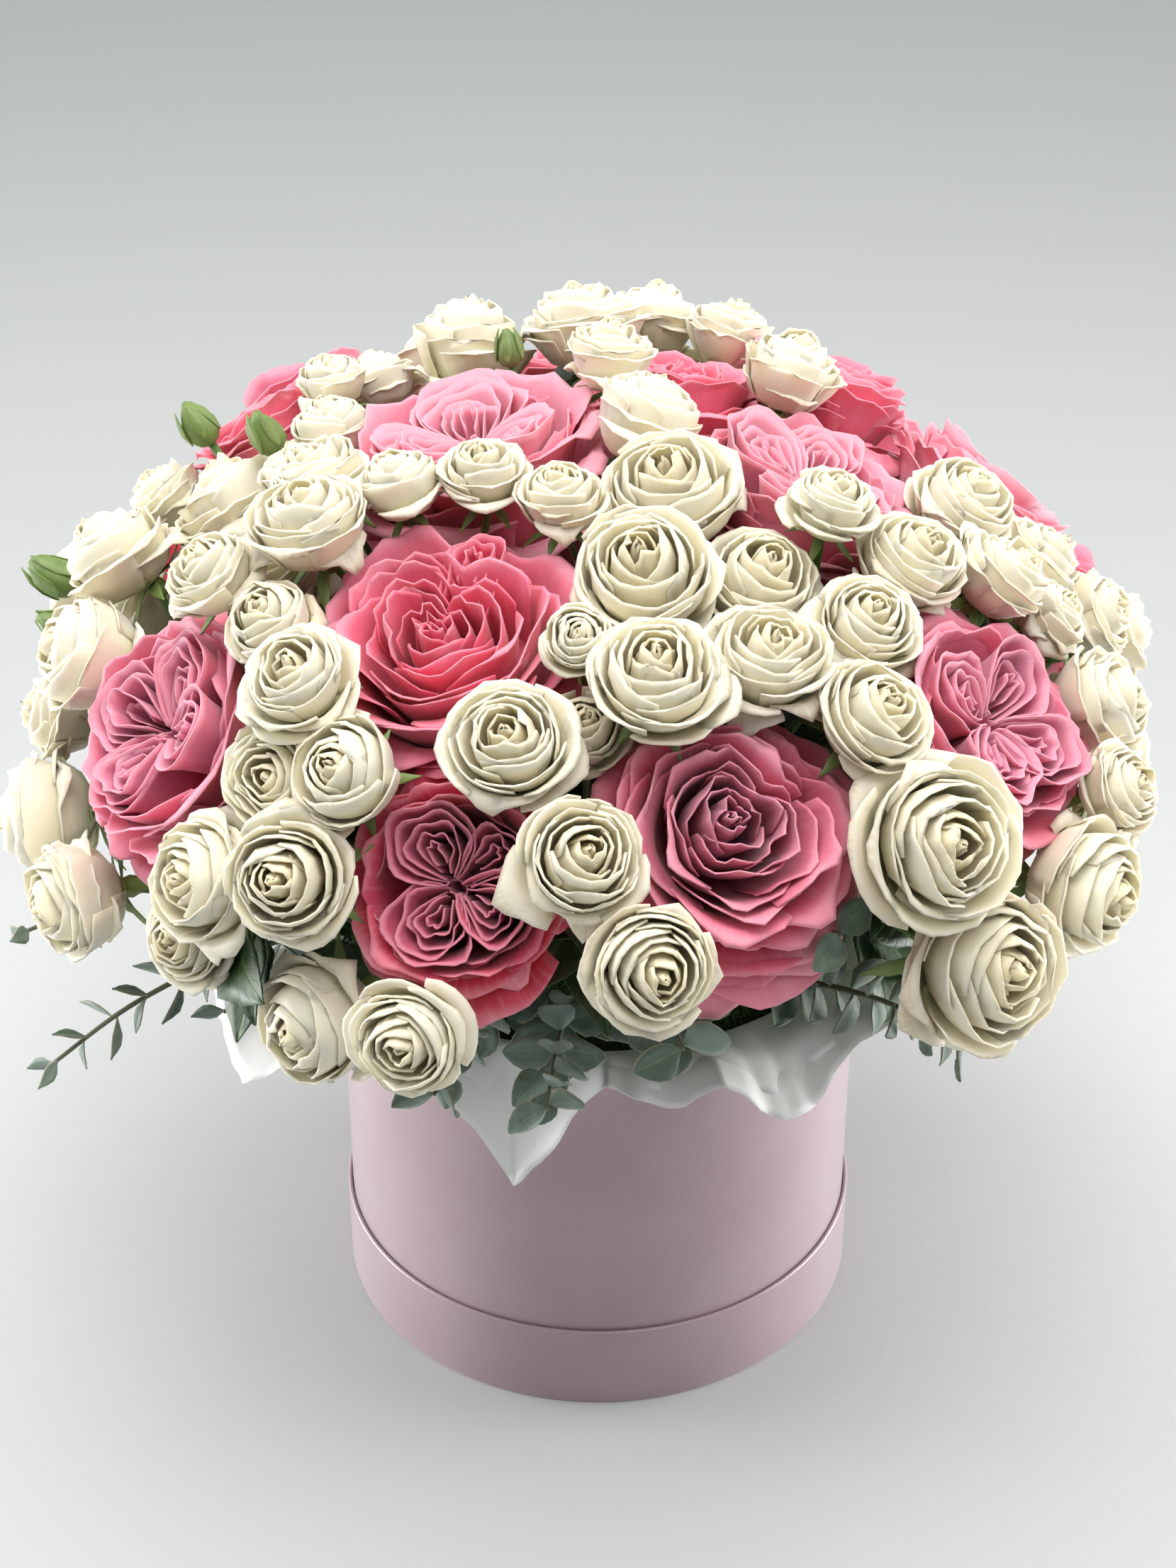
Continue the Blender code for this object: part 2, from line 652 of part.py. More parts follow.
def sprig(name, way, inner, run, pairs, length, width):
    """Eucalyptus sprig: a bent stem with opposite leaves, each pair turned from the last."""
    path = np.vstack([inner[None, :], run])
    radii = [SPRIG_STEM] * 2 + [SPRIG_STEM * 0.9, SPRIG_STEM * 0.8, SPRIG_STEM * 0.7, SPRIG_STEM * 0.6]
    shell = Shell()
    last, _ = shell.tube(path, radii, 3, way)
    shell.cap(last, True)
    body = shell.build(name)
    leaves = []
    for pair in range(pairs):
        place, along = place_on(run, 0.30 + 0.66 * pair / max(1, pairs - 1))
        level, up = side_axes(along)
        shrink = 1.0 - 0.22 * pair / max(1, pairs - 1)
        spin = math.radians(25.0 + 65.0 * (pair % 2))
        level = math.cos(spin) * level + math.sin(spin) * up
        for hand in (-1.0, 1.0):
            out = unit(level * hand + along * LEAF_LEAN)
            flat = unit(np.cross(out, np.cross(along, out)))
            if flat[2] < 0:
                flat = -flat
            root = place + along * 0.0009 * hand
            leaves.append(leaf(name + "_leaf", root, out, flat, length * shrink, width * shrink, SPRIG_LEAF))
    return combine(body, leaves, "UNION")


def flower_route(name, heads):
    """Stem and branches of one rose or spray: the head nearest the middle ends the main stem."""
    middle = np.mean([head[1] for head in heads], axis=0)
    order = sorted(heads, key=lambda head: np.linalg.norm(head[1] - middle))
    _, centre, axis, r = order[0]
    foot = centre - axis * FOOT * r
    way = stem_direction(foot)
    leave = foam_exit(way)
    inner = STEM_HUB + way * (leave - STEM_DEPTH)
    outer = STEM_HUB + way * (leave + STEM_STRAIGHT)
    run = bend(outer, way, foot, axis, 3)
    arms = []
    for index, (_, centre, axis, r) in enumerate(order[1:]):
        root, along = place_on(run, FIRST_BRANCH + BRANCH_STEP * index)
        foot = centre - axis * FOOT * r
        begin = unit(unit(foot - root) + BRANCH_LEAN * along)
        arms.append((begin, bend(root, begin, foot, axis, 2)))
    thick = ROSE_STEM if name in PINK_ROSES else SPRAY_STEM
    return {"name": name, "heads": order, "way": way, "inner": inner, "run": run, "arms": arms,
            "thick": thick, "leaves": []}


def leaf_points(root, way, flat, length, width):
    """Points spread over a leaf, to see whether it has room."""
    side = np.cross(flat, way)
    along = np.repeat(np.linspace(0.2, 1.0, 7), 5)[:, None] * length
    across = np.tile(np.linspace(-0.5, 0.5, 5), 7)[:, None] * width
    return root + way * along + side * across - flat * 0.10 * along * along / length


def clearance(points, starts, ends, radii):
    """Least distance between points and the stems that run from starts to ends."""
    step = ends - starts
    rel = points[:, None, :] - starts[None, :, :]
    share = np.clip((rel * step).sum(axis=2) / (step * step).sum(axis=1), 0.0, 1.0)
    gap = np.linalg.norm(rel - share[:, :, None] * step[None, :, :], axis=2) - radii
    return gap.min()


def add_leaves(routes, sprig_runs, centres, radii):
    """Give each stem leaves where there is room for them, larger ones and outer places first."""
    stems = []
    for route in routes:
        for here, there in zip(route["run"], route["run"][1:]):
            stems.append((route["name"], here, there, route["thick"]))
        for _, arm in route["arms"]:
            for here, there in zip(arm, arm[1:]):
                stems.append((route["name"], here, there, BRANCH_STEM))
    for run, reach in sprig_runs:
        for here, there in zip(run, run[1:]):
            stems.append(("sprig", here, there, reach))
    placed = []
    for route in routes:
        if route["way"][2] > LEAF_STEM_BELOW:
            continue
        others = [stem for stem in stems if stem[0] != route["name"]]
        starts = np.array([stem[1] for stem in others])
        ends = np.array([stem[2] for stem in others])
        thick = np.array([stem[3] for stem in others])
        for share, length, turn in LEAF_TRIES:
            if len(route["leaves"]) >= LEAVES_EACH:
                break
            root, along = place_on(route["run"], share)
            u, v = side_axes(along)
            spin = math.radians(turn)
            way = unit(math.cos(spin) * u + math.sin(spin) * v + LEAF_LEAN * along)
            flat = unit(along - way * np.dot(along, way))
            width = LEAF_WIDTH_SHARE * length
            points = leaf_points(root, way, flat, length, width)
            reach = np.linalg.norm(points - STEM_HUB, axis=1)
            in_foam = any(foam_exit(unit(q - STEM_HUB)) + LEAF_FOAM_ROOM > d for q, d in zip(points, reach))
            low = (points[:, 2] < LEAF_LOWEST_Z).any()
            near_head = (np.linalg.norm(points[:, None, :] - centres[None, :, :], axis=2)
                         - radii[None, :]).min() < LEAF_ROOM
            near_leaf = any(np.linalg.norm(points[:, None, :] - other[None, :, :], axis=2).min()
                            < 2.2 * LEAF_ROOM for other in placed)
            if in_foam or low or near_head or near_leaf:
                continue
            if clearance(points, starts, ends, thick) < LEAF_ROOM:
                continue
            placed.append(points)
            route["leaves"].append((root, way, flat, length, width))


def flower_node(route):
    """One rose, or one spray with its blooms, buds and leaves on a branching stem."""
    name = route["name"]
    thick = route["thick"]
    sides = 4 if name in PINK_ROSES else 3
    path = np.vstack([route["inner"][None, :], route["run"]])
    kind, centre, axis, r = route["heads"][0]
    shell = Shell()
    last, u = shell.tube(path, [thick, thick, thick, thick * 0.9, thick * 0.8], sides, route["way"])
    add_head(shell, last, kind, centre, axis, unit(u - axis * np.dot(u, axis)), r)
    body = shell.build(name)
    branches = []
    for (begin, arm), (kind, centre, axis, r) in zip(route["arms"], route["heads"][1:]):
        shell = Shell()
        last, u = shell.tube(arm, [BRANCH_STEM] * 3, 3, begin)
        add_head(shell, last, kind, centre, axis, unit(u - axis * np.dot(u, axis)), r)
        branches.append(shell.build(name + "_arm"))
    for root, way, flat, length, width in route["leaves"]:
        branches.append(leaf(name + "_leaf", root, way, flat, length, width, ROSE_LEAF))
    if branches:
        combine(body, branches, "UNION")
    return body, stem_hole(route["way"], thick, sides)


def stem_hole(way, thick, sides):
    """Plain hole in the foam for one stem."""
    leave = foam_exit(way)
    shell = Shell()
    start = STEM_HUB + way * (leave - STEM_DEPTH - HOLE_PLAY)
    end = STEM_HUB + way * (leave + HOLE_OUTSIDE)
    last, _ = shell.tube(np.array([start, end]), [thick + HOLE_PLAY] * 2, sides, way)
    shell.cap(last, True)
    return shell.build("stem_hole")


def main():
    for item in list(bpy.data.objects):
        bpy.data.objects.remove(item)

    lid = cup("box_lid", LID_OUTER_RADIUS, CARD, 0.0, LID_HEIGHT, ROUND_SIDES)
    finish(lid, PINK_CARD, 0.45, True)
    box = cup("box_body", BOX_OUTER_RADIUS, CARD, CARD + FIT, BOX_RIM_Z, ROUND_SIDES)
    finish(box, PINK_CARD, 0.45, True)
    film_z = 2 * CARD + 2 * FIT
    film = cup("foam_film", FILM_OUTER_RADIUS, FILM, film_z, FILM_TOP_Z, FOAM_SIDES)
    finish(film, CLEAR_FILM, 0.2, True)
    finish(tissue_paper(), WHITE_TISSUE, 0.7, True)

    flowers = flower_list()
    centres, radii = spread(flowers)
    routes = all_routes(flowers, centres, radii)
    sprigs = {}
    for name, (bearing, tip_bearing, reach, height, pairs, length, width) in SPRIGS.items():
        way, inner, run = sprig_route(bearing, tip_bearing, reach, height)
        sprigs[name] = (way, inner, run, pairs, length / 1000.0, width / 1000.0)
    sprig_runs = [(course[2], course[4] * 0.8) for course in sprigs.values()]
    add_leaves(routes, sprig_runs, centres, radii)

    holes = []
    for route in routes:
        body, hole = flower_node(route)
        colour = PINK_PETALS if route["name"] in PINK_ROSES else WHITE_PETALS
        finish(body, colour, 0.6, False)
        holes.append(hole)
    for name, course in sprigs.items():
        body = sprig(name, *course)
        finish(body, DUSTY_LEAVES, 0.6, False)
        holes.append(stem_hole(course[0], SPRIG_STEM, 3))

    foam_z = film_z + FILM + FIT
    profile = [(FOAM_RADIUS, foam_z), (FOAM_RADIUS, FOAM_SIDE_TOP_Z), (FOAM_TOP_RADIUS, FOAM_TOP_Z)]
    foam = turned("floral_foam", profile, FOAM_SIDES)
    combine(foam, holes, "DIFFERENCE")
    finish(foam, GREEN_FOAM, 0.95, False)


main()
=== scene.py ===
"""Round hat box of garden roses, spray roses and eucalyptus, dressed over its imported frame.

Metres, +Z up, the front of the box faces -Y. The flowers lie where the frame's solids lie, because the
bearings, the dome and the stems below repeat the ones that the solids were made from.
"""
import math

import bpy
import numpy as np
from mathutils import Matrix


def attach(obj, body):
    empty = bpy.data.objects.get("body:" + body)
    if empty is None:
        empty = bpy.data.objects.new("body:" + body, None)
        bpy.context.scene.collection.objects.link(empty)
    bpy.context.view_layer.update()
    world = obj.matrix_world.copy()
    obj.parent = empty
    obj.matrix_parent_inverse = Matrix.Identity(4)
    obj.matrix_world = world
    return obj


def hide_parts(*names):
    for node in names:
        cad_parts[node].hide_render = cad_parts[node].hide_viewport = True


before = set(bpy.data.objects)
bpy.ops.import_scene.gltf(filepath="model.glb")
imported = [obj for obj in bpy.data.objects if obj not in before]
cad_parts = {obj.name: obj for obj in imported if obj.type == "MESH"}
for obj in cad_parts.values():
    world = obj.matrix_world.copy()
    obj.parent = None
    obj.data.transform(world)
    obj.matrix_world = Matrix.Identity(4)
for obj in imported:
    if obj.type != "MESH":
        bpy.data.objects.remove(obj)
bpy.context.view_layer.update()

bl_info = {
    "name": "Flower hat box",
    "version": (1, 0, 0),
    "blender": (4, 5, 0),
    "location": "View3D > Sidebar > Hat box",
    "description": "Petals, leaves, tissue and satin paper for a round hat box of roses",
    "category": "Object",
}

# box, lid, foam and rim, as in the frame
LID_OUTER_RADIUS = 0.125
LID_HEIGHT = 0.044
BOX_OUTER_RADIUS = 0.1225
BOX_RIM_Z = 0.200
CARD = 0.002
FIT = 0.0003
FOAM_RADIUS = 0.1050
FOAM_SIDE_TOP_Z = 0.2120
FOAM_TOP_RADIUS = 0.0800
FOAM_TOP_Z = 0.2450

# axes of what stands upright on the origin
UPRIGHT = tuple(np.eye(3))

# the flowers lie on a flattened dome, and their stems run out from one point low in the foam
DOME_RADIUS = 0.270
DOME_HEIGHT = 0.196
DOME_Z = 0.270
STEM_HUB = np.array([0.0, 0.0, 0.160])
LOWEST_STEM_ANGLE = 29.0
STEM_DEPTH = 0.026
SPRAY_STEM = 0.0025
BRANCH_STEM = 0.0017
ROSE_STEM = 0.0031
SPRIG_STEM = 0.0019
FLOWER_GAP = 0.0012
HEAD_FULLNESS = 1.08
STEM_ROOM = 0.0036
SPREAD_TURNS = 500
ROSE_INSET = 0.035
BLOOM_INSET = 0.022
BUD_INSET = 0.012
BUD_REACH = 1.45
FOOT = 0.86

# turns of the pushing apart: stems are looked at from a turn on, every so many turns, and each turn moves a
# flower by a share of its push and, but for the last turns, by a share of the way back to its own place
FIRST_STEM_TURN = 100
STEMS_EVERY = 25
PUSH = 0.5
PULL = 0.02
LAST_TURNS = 60

# courses of stems, branches and sprigs, and how far apart the points on them lie that flowers keep clear of
STEM_SAMPLE = 0.006
STEM_STRAIGHT = 0.004
FIRST_BRANCH = 0.36
BRANCH_STEP = 0.09
BRANCH_LEAN = 0.6
SPRIG_STRAIGHT = 0.010
SPRIG_DROOP = 0.55

# heads whose middle lies farther back than this are made of coarser grids
DETAIL_Y = 0.050

# bearing in degrees from the front toward the right, height angle on the dome, width in millimetres,
# then how the flower is filled: lobes of folded petals, or one swirl for 1, and its colour
PINK_ROSES = {
    "pink_rose_front_middle": (-23, 58, 98, 2, "coral"),
    "pink_rose_front_low_left": (-16, 30, 76, 4, "crimson"),
    "pink_rose_front_low_right": (16, 35, 86, 1, "mauve"),
    "pink_rose_left": (-58, 33, 94, 3, "mauve"),
    "pink_rose_right": (54, 35, 90, 4, "mauve"),
    "pink_rose_top_left": (-94, 76, 100, 3, "light"),
    "pink_rose_top_right": (76, 69, 90, 4, "light"),
    "pink_rose_back_left_high": (-139, 54, 76, 3, "coral"),
    "pink_rose_back_middle_high": (155, 66, 72, 1, "coral"),
    "pink_rose_back_right_high": (134, 51, 74, 4, "coral"),
    "pink_rose_back_right": (115, 40, 86, 3, "light"),
    "pink_rose_left_shoulder": (-122, 40, 68, 4, "coral"),
    "pink_rose_left_far": (-113, 29, 66, 1, "light"),
    "pink_rose_rear_a": (117, 12, 82, 4, "mauve"),
    "pink_rose_rear_b": (155, 12, 80, 3, "coral"),
    "pink_rose_rear_c": (-167, 12, 84, 4, "mauve"),
    "pink_rose_rear_d": (-129, 12, 80, 1, "crimson"),
    "pink_rose_rear_e": (140, 33, 82, 1, "light"),
    "pink_rose_rear_f": (-176, 35, 86, 4, "coral"),
    "pink_rose_rear_g": (-138, 33, 80, 3, "mauve"),
}

# white spray roses: one branching stem each, its open blooms by width, and its green buds; a fourth
# number moves a low flower in toward the box, in millimetres
SPRAYS = {
    "white_spray_top_back": ((-160, 58, 50), (-179, 60, 50), (168, 56, 42), (-141, 75, 14)),
    "white_spray_top_back_right": ((150, 56, 38), (122, 67, 40)),
    "white_spray_top": ((-150, 88, 36), (88, 83, 44), (-6, 72, 32)),
    "white_spray_crown": ((20, 73, 52), (10, 61, 52), (7, 49, 46), (0, 55, 24)),
    "white_spray_right_crown": ((28, 60, 48), (24, 50, 44), (39, 51, 38), (31, 40, 42)),
    "white_spray_right_top": ((58, 53, 44), (58, 61, 32), (84, 54, 42), (68, 45, 40)),
    "white_spray_right": ((88, 40, 40), (75, 38, 32), (91, 27, 38), (71, 27, 46), (61, 22, 34)),
    "white_spray_right_low": ((36, 29, 58), (54, 15, 50), (38, 12, 59), (70, 6, 42, 20)),
    "white_spray_front": ((-4, 29, 42), (6, 25, 43), (-10, 41, 43), (-3, 46, 29)),
    "white_spray_front_low": ((-17, 15, 40, 14), (-30, 2, 48, 24), (-28, 25, 44)),
    "white_spray_left_low": ((-41, 20, 48), (-46, 8, 36, 16), (-64, 2, 48)),
    "white_spray_left_edge": ((-88, 13, 42), (-81, 3, 50), (-83, 26, 50)),
    "white_spray_left_far": ((-99, 27, 42), (-95, 34, 44), (-98, 24, 20), (-93, 20, 18)),
    "white_spray_left_shoulder": ((-111, 42, 36), (-103, 43, 54), (-113, 46, 18)),
    "white_spray_left_top": ((-132, 55, 34), (-109, 62, 34), (-88, 60, 36), (-122, 52, 28), (-102, 57, 17)),
    "white_spray_left_crown": ((-71, 64, 38), (-66, 54, 40), (-54, 57, 44), (-43, 63, 30), (-36, 71, 32)),
    "white_spray_left_middle": ((-39, 35, 38), (-28, 37, 39), (-34, 45, 40), (-42, 51, 35), (-59, 47, 36)),
    "white_spray_rear_a": ((92, 6, 46, 14), (104, 3, 44, 22), (98, 19, 48)),
    "white_spray_rear_b": ((130, 3, 44, 20), (142, 4, 46, 20), (136, 20, 48)),
    "white_spray_rear_c": ((168, 3, 46, 20), (180, 2, 44, 22), (174, 20, 48)),
    "white_spray_rear_d": ((-154, 3, 44, 20), (-142, 2, 46, 22), (-148, 20, 48), (-157, 31, 44), (-157, 42, 46)),
    "white_spray_rear_e": ((-115, 3, 44, 20), (-103, 3, 46, 20), (-110, 20, 48)),
    "white_spray_rear_f": ((161, 30, 44), (163, 42, 46), (174, 51, 42)),
}

# heads narrower than this in millimetres are buds; blooms are half open below a radius, and others by chance
BUD_BELOW = 22
HALF_OPEN_RADIUS = 0.0172
HALF_OPEN_SHARE = 0.28

# the leaf of a low stem's solid: how steep its stem may be at most, the room that it keeps, and its form
LEAF_STEM_BELOW = 0.80
LEAF_ROOM = 0.0034
LEAF_FOAM_ROOM = 0.006
LEAF_LOWEST_Z = 0.224
LEAF_LEAN = 0.45
LEAF_WIDTH_SHARE = 0.62
LEAF_TRIES = [(share, length, turn) for length in (0.048, 0.040, 0.032)
              for share in (0.52, 0.42, 0.64, 0.34, 0.78) for turn in range(0, 360, 20)]

# further leaves: how often a place is tried, the share of a head's radius and the part of the rim that they
# keep clear of, and their form
MORE_LEAF_TRIES = 110
HEAD_SHARE = 0.92
RIM_CLEAR_Z = 0.214
RIM_CLEAR_RADIUS = 0.118
LEAF_THICK = 0.0005
LEAF_STALK = 0.12

# eucalyptus: bearing at the foam, bearing, distance from the middle and height of the tip in
# millimetres, pairs of leaves, leaf length and width in millimetres
SPRIGS = {
    "eucalyptus_left_long": (-58, -60, 272, 208, 5, 19, 8),
    "eucalyptus_left": (-72, -70, 268, 246, 4, 15, 10),
    "eucalyptus_left_low": (-51, -49, 210, 238, 4, 15, 9),
    "eucalyptus_front_left": (-19, -20, 198, 232, 4, 20, 18),
    "eucalyptus_front": (-6, -6, 204, 238, 5, 20, 17),
    "eucalyptus_front_right": (8, 9, 208, 270, 4, 23, 21),
    "eucalyptus_right": (34, 43, 222, 238, 6, 18, 14),
    "eucalyptus_right_high": (24, 26, 214, 316, 3, 20, 18),
    "eucalyptus_rear_a": (120, 124, 215, 238, 3, 21, 18),
    "eucalyptus_rear_b": (-176, -172, 212, 234, 3, 21, 18),
    "eucalyptus_rear_c": (-122, -124, 215, 238, 3, 21, 18),
}

# edge of the tissue round the rim: bearing, distance from the middle and height in millimetres
TISSUE_EDGE = [
    (-180, 160, 204), (-165, 172, 198), (-150, 158, 206), (-135, 176, 200), (-120, 162, 206),
    (-105, 178, 202), (-90, 170, 200), (-78, 182, 196), (-66, 186, 188), (-56, 190, 177),
    (-47, 172, 196), (-40, 158, 190), (-33, 160, 196), (-28, 150, 192), (-23, 140, 168),
    (-17, 131, 133), (-11, 136, 152), (-5, 144, 184), (1, 150, 207), (7, 152, 203),
    (14, 151, 196), (20, 152, 200), (26, 157, 186), (32, 160, 182), (38, 158, 192),
    (45, 160, 202), (52, 178, 214), (60, 190, 211), (69, 184, 198), (80, 172, 206),
    (93, 180, 200), (107, 166, 206), (121, 178, 200), (135, 162, 206), (150, 174, 199),
    (165, 160, 206),
]

# rings of petals, outermost first: petals, half width in degrees, belly, tip and height as shares of
# the head's radius, how far the lip rolls out and how far it droops
OPEN_BLOOM = [
    (5, 46, 0.84, 1.00, -0.02, 0.10, 0.28), (5, 48, 0.90, 0.93, 0.22, 0.13, 0.20),
    (4, 58, 0.87, 0.80, 0.40, 0.13, 0.15), (4, 60, 0.80, 0.64, 0.52, 0.11, 0.10),
    (3, 78, 0.69, 0.47, 0.61, 0.09, 0.06), (3, 80, 0.54, 0.31, 0.67, 0.06, 0.03),
    (3, 84, 0.38, 0.16, 0.71, 0.03, 0.01), (2, 130, 0.20, 0.03, 0.72, 0.0, 0.0),
]
HALF_BLOOM = [
    (4, 50, 0.94, 1.00, 0.02, 0.12, 0.26), (4, 58, 0.96, 0.86, 0.40, 0.15, 0.17),
    (3, 76, 0.92, 0.65, 0.60, 0.13, 0.11), (3, 80, 0.80, 0.44, 0.70, 0.08, 0.05),
    (3, 84, 0.62, 0.26, 0.76, 0.05, 0.02), (3, 90, 0.42, 0.12, 0.79, 0.02, 0.0),
    (2, 130, 0.22, 0.02, 0.80, 0.0, 0.0),
]
ROSE_CUP = [
    (5, 48, 0.84, 1.02, -0.14, 0.12, 0.28), (5, 48, 0.84, 1.00, 0.06, 0.14, 0.22),
    (6, 42, 0.80, 0.92, 0.26, 0.14, 0.16), (6, 42, 0.73, 0.82, 0.38, 0.12, 0.10),
]
ROSE_SWIRL = [
    (5, 48, 0.64, 0.71, 0.45, 0.10, 0.08), (5, 48, 0.56, 0.58, 0.46, 0.09, 0.07),
    (4, 58, 0.47, 0.44, 0.45, 0.08, 0.05), (4, 60, 0.38, 0.31, 0.44, 0.06, 0.04),
    (3, 78, 0.28, 0.20, 0.43, 0.04, 0.02), (3, 84, 0.18, 0.11, 0.42, 0.02, 0.01),
    (2, 120, 0.08, 0.04, 0.41, 0.0, 0.0),
]
ROSE_EYE = [(6, 44, 0.76, 0.68, 0.34, 0.10, 0.10), (2, 120, 0.08, 0.09, 0.10, 0.02, 0.0)]

# middles of the garden roses that the picture shows well. A swirl has the shift of its own middle toward
# the left and down, then the direction and depth of the notch that its petals leave. A lobe of folded petals
# has its direction from the left toward down in degrees, the distance of its middle from the axis, its
# largest fold, and how near the axis its petals' ends come
ROSE_MIDDLES = {
    "pink_rose_front_middle": ((0.02, 0.17, -90, 0.52), [(-90, 0.50, 0.23, 0.26)]),
    "pink_rose_front_low_right": ((0.12, -0.14, -135, 0.40), []),
    "pink_rose_front_low_left": (None, [(-58, 0.37, 0.43, 0.07), (-135, 0.52, 0.24, 0.16), (72, 0.36, 0.42, 0.07),
                                        (160, 0.42, 0.34, 0.07)]),
    "pink_rose_left": (None, [(-88, 0.41, 0.38, 0.07), (5, 0.41, 0.38, 0.07), (-155, 0.41, 0.34, 0.07),
                              (92, 0.40, 0.36, 0.07)]),
}

# broad outermost petals that hang from a garden rose: direction as above, how far out the tip comes, and its
# droop
LOOSE_PETALS = {
    "pink_rose_front_low_right": [(100, 1.24, 0.34), (150, 1.16, 0.30), (60, 1.10, 0.30)],
    "pink_rose_front_middle": [(38, 1.16, 0.30), (78, 1.08, 0.26)],
    "pink_rose_right": [(60, 1.14, 0.30)],
}


# numbers and directions

def unit(vector):
    """Vector scaled to length one."""
    return vector / np.linalg.norm(vector)


def heading(azimuth, elevation):
    """Direction from a bearing measured from the front and an angle above the horizon, in degrees."""
    a = math.radians(azimuth)
    e = math.radians(elevation)
    return np.array([math.sin(a) * math.cos(e), -math.cos(a) * math.cos(e), math.sin(e)])


def dome_point(azimuth, elevation, inset):
    """Point on the dome, moved in by inset."""
    axes = np.array([DOME_RADIUS - inset, DOME_RADIUS - inset, DOME_HEIGHT - 0.8 * inset])
    return np.array([0.0, 0.0, DOME_Z]) + heading(azimuth, elevation) * axes


def dome_normal(point):
    """Outward direction of the dome at a point."""
    rel = point - np.array([0.0, 0.0, DOME_Z])
    return unit(rel / np.array([DOME_RADIUS, DOME_RADIUS, DOME_HEIGHT]) ** 2)


def side_axes(axis):
    """Two directions square to an axis."""
    first = np.cross(axis, np.array([0.0, 0.0, 1.0]))
    if np.linalg.norm(first) < 0.05:
        first = np.cross(axis, np.array([0.0, 1.0, 0.0]))
    first = unit(first)
    return first, np.cross(axis, first)


# layout of the flowers, the same steps as the solids took

def flower_list():
    """Every flower as node name, kind, target centre and envelope radius."""
    flowers = []
    for name, (azimuth, elevation, width, _, _) in PINK_ROSES.items():
        flowers.append([name, "rose", dome_point(azimuth, elevation, ROSE_INSET), HEAD_FULLNESS * width / 2000.0])
    for name, heads in SPRAYS.items():
        for azimuth, elevation, width, *deeper in heads:
            kind = "bud" if width < BUD_BELOW else "bloom"
            inset = (BUD_INSET if kind == "bud" else BLOOM_INSET) + sum(deeper) / 1000.0
            reach = BUD_REACH if kind == "bud" else HEAD_FULLNESS
            flowers.append([name, kind, dome_point(azimuth, elevation, inset), reach * width / 2000.0])
    return flowers


def spread(flowers):
    """Push flowers clear of each other and of each other's stems, holding each near its own place."""
    owner = np.array([flower[0] for flower in flowers])
    target = np.array([flower[2] for flower in flowers])
    radius = np.array([flower[3] for flower in flowers])
    centre = target.copy()
    reach = radius[:, None] + radius[None, :] + FLOWER_GAP
    weight = radius[None, :] / (radius[:, None] + radius[None, :])
    rods, rod_owner = np.zeros((0, 3)), np.zeros(0, dtype=owner.dtype)
    for turn in range(SPREAD_TURNS):
        if turn % STEMS_EVERY == 0 and turn >= FIRST_STEM_TURN:
            rods, rod_owner = stem_samples(flowers, centre, radius)
        apart = centre[:, None, :] - centre[None, :, :]
        distance = np.linalg.norm(apart, axis=2) + np.eye(len(radius))
        overlap = np.clip(reach - distance, 0.0, None) * (1.0 - np.eye(len(radius)))
        push = ((apart / distance[:, :, None]) * (overlap * weight)[:, :, None]).sum(axis=1)
        if len(rods):
            apart = centre[:, None, :] - rods[None, :, :]
            distance = np.linalg.norm(apart, axis=2)
            foreign = owner[:, None] != rod_owner[None, :]
            overlap = np.clip(radius[:, None] + STEM_ROOM - distance, 0.0, None) * foreign
            worst = overlap.argmax(axis=1)
            rows = np.arange(len(radius))
            push += apart[rows, worst] / distance[rows, worst][:, None] * overlap[rows, worst][:, None]
        centre = centre + PUSH * push
        if turn < SPREAD_TURNS - LAST_TURNS:
            centre = centre + PULL * (target - centre)
    apart = centre[:, None, :] - centre[None, :, :]
    distance = np.linalg.norm(apart, axis=2) + 10.0 * np.eye(len(radius))
    share = (distance - FLOWER_GAP) / (radius[:, None] + radius[None, :])
    return centre, radius * np.minimum(1.0, share.min(axis=1))


def stem_samples(flowers, centres, radii):
    """Points along every stem and branch, with the node that each belongs to."""
    points = []
    owners = []
    for route in all_routes(flowers, centres, radii):
        for line in [route["run"]] + [arm for _, arm in route["arms"]]:
            for here, there in zip(line, line[1:]):
                count = int(np.linalg.norm(there - here) / STEM_SAMPLE) + 2
                for share in np.linspace(0.0, 1.0, count):
                    points.append(here + (there - here) * share)
                    owners.append(route["name"])
    return np.array(points), np.array(owners)


def all_routes(flowers, centres, radii):
    """Stem and branches of every rose and spray."""
    heads = {}
    for (name, kind, _, _), centre, r in zip(flowers, centres, radii):
        heads.setdefault(name, []).append((kind, centre, dome_normal(centre), r))
    return [flower_route(name, group) for name, group in heads.items()]


def foam_exit(direction):
    """Distance from the hub at which a stem in this direction leaves the foam."""
    across = math.hypot(direction[0], direction[1])
    up = direction[2]
    slope_run = FOAM_RADIUS - FOAM_TOP_RADIUS
    slope_rise = FOAM_TOP_Z - FOAM_SIDE_TOP_Z
    top = (FOAM_TOP_Z - STEM_HUB[2]) / max(up, 1e-6)
    side = FOAM_RADIUS / max(across, 1e-6)
    level = FOAM_RADIUS * slope_rise + (FOAM_SIDE_TOP_Z - STEM_HUB[2]) * slope_run
    edge = level / (across * slope_rise + up * slope_run)
    return min(top, side, edge)


def stem_direction(point):
    """Direction in which the stem that serves a point leaves the foam."""
    rel = point - STEM_HUB
    azimuth = math.degrees(math.atan2(rel[0], -rel[1]))
    elevation = math.degrees(math.atan2(rel[2], math.hypot(rel[0], rel[1])))
    return heading(azimuth, max(elevation, LOWEST_STEM_ANGLE))


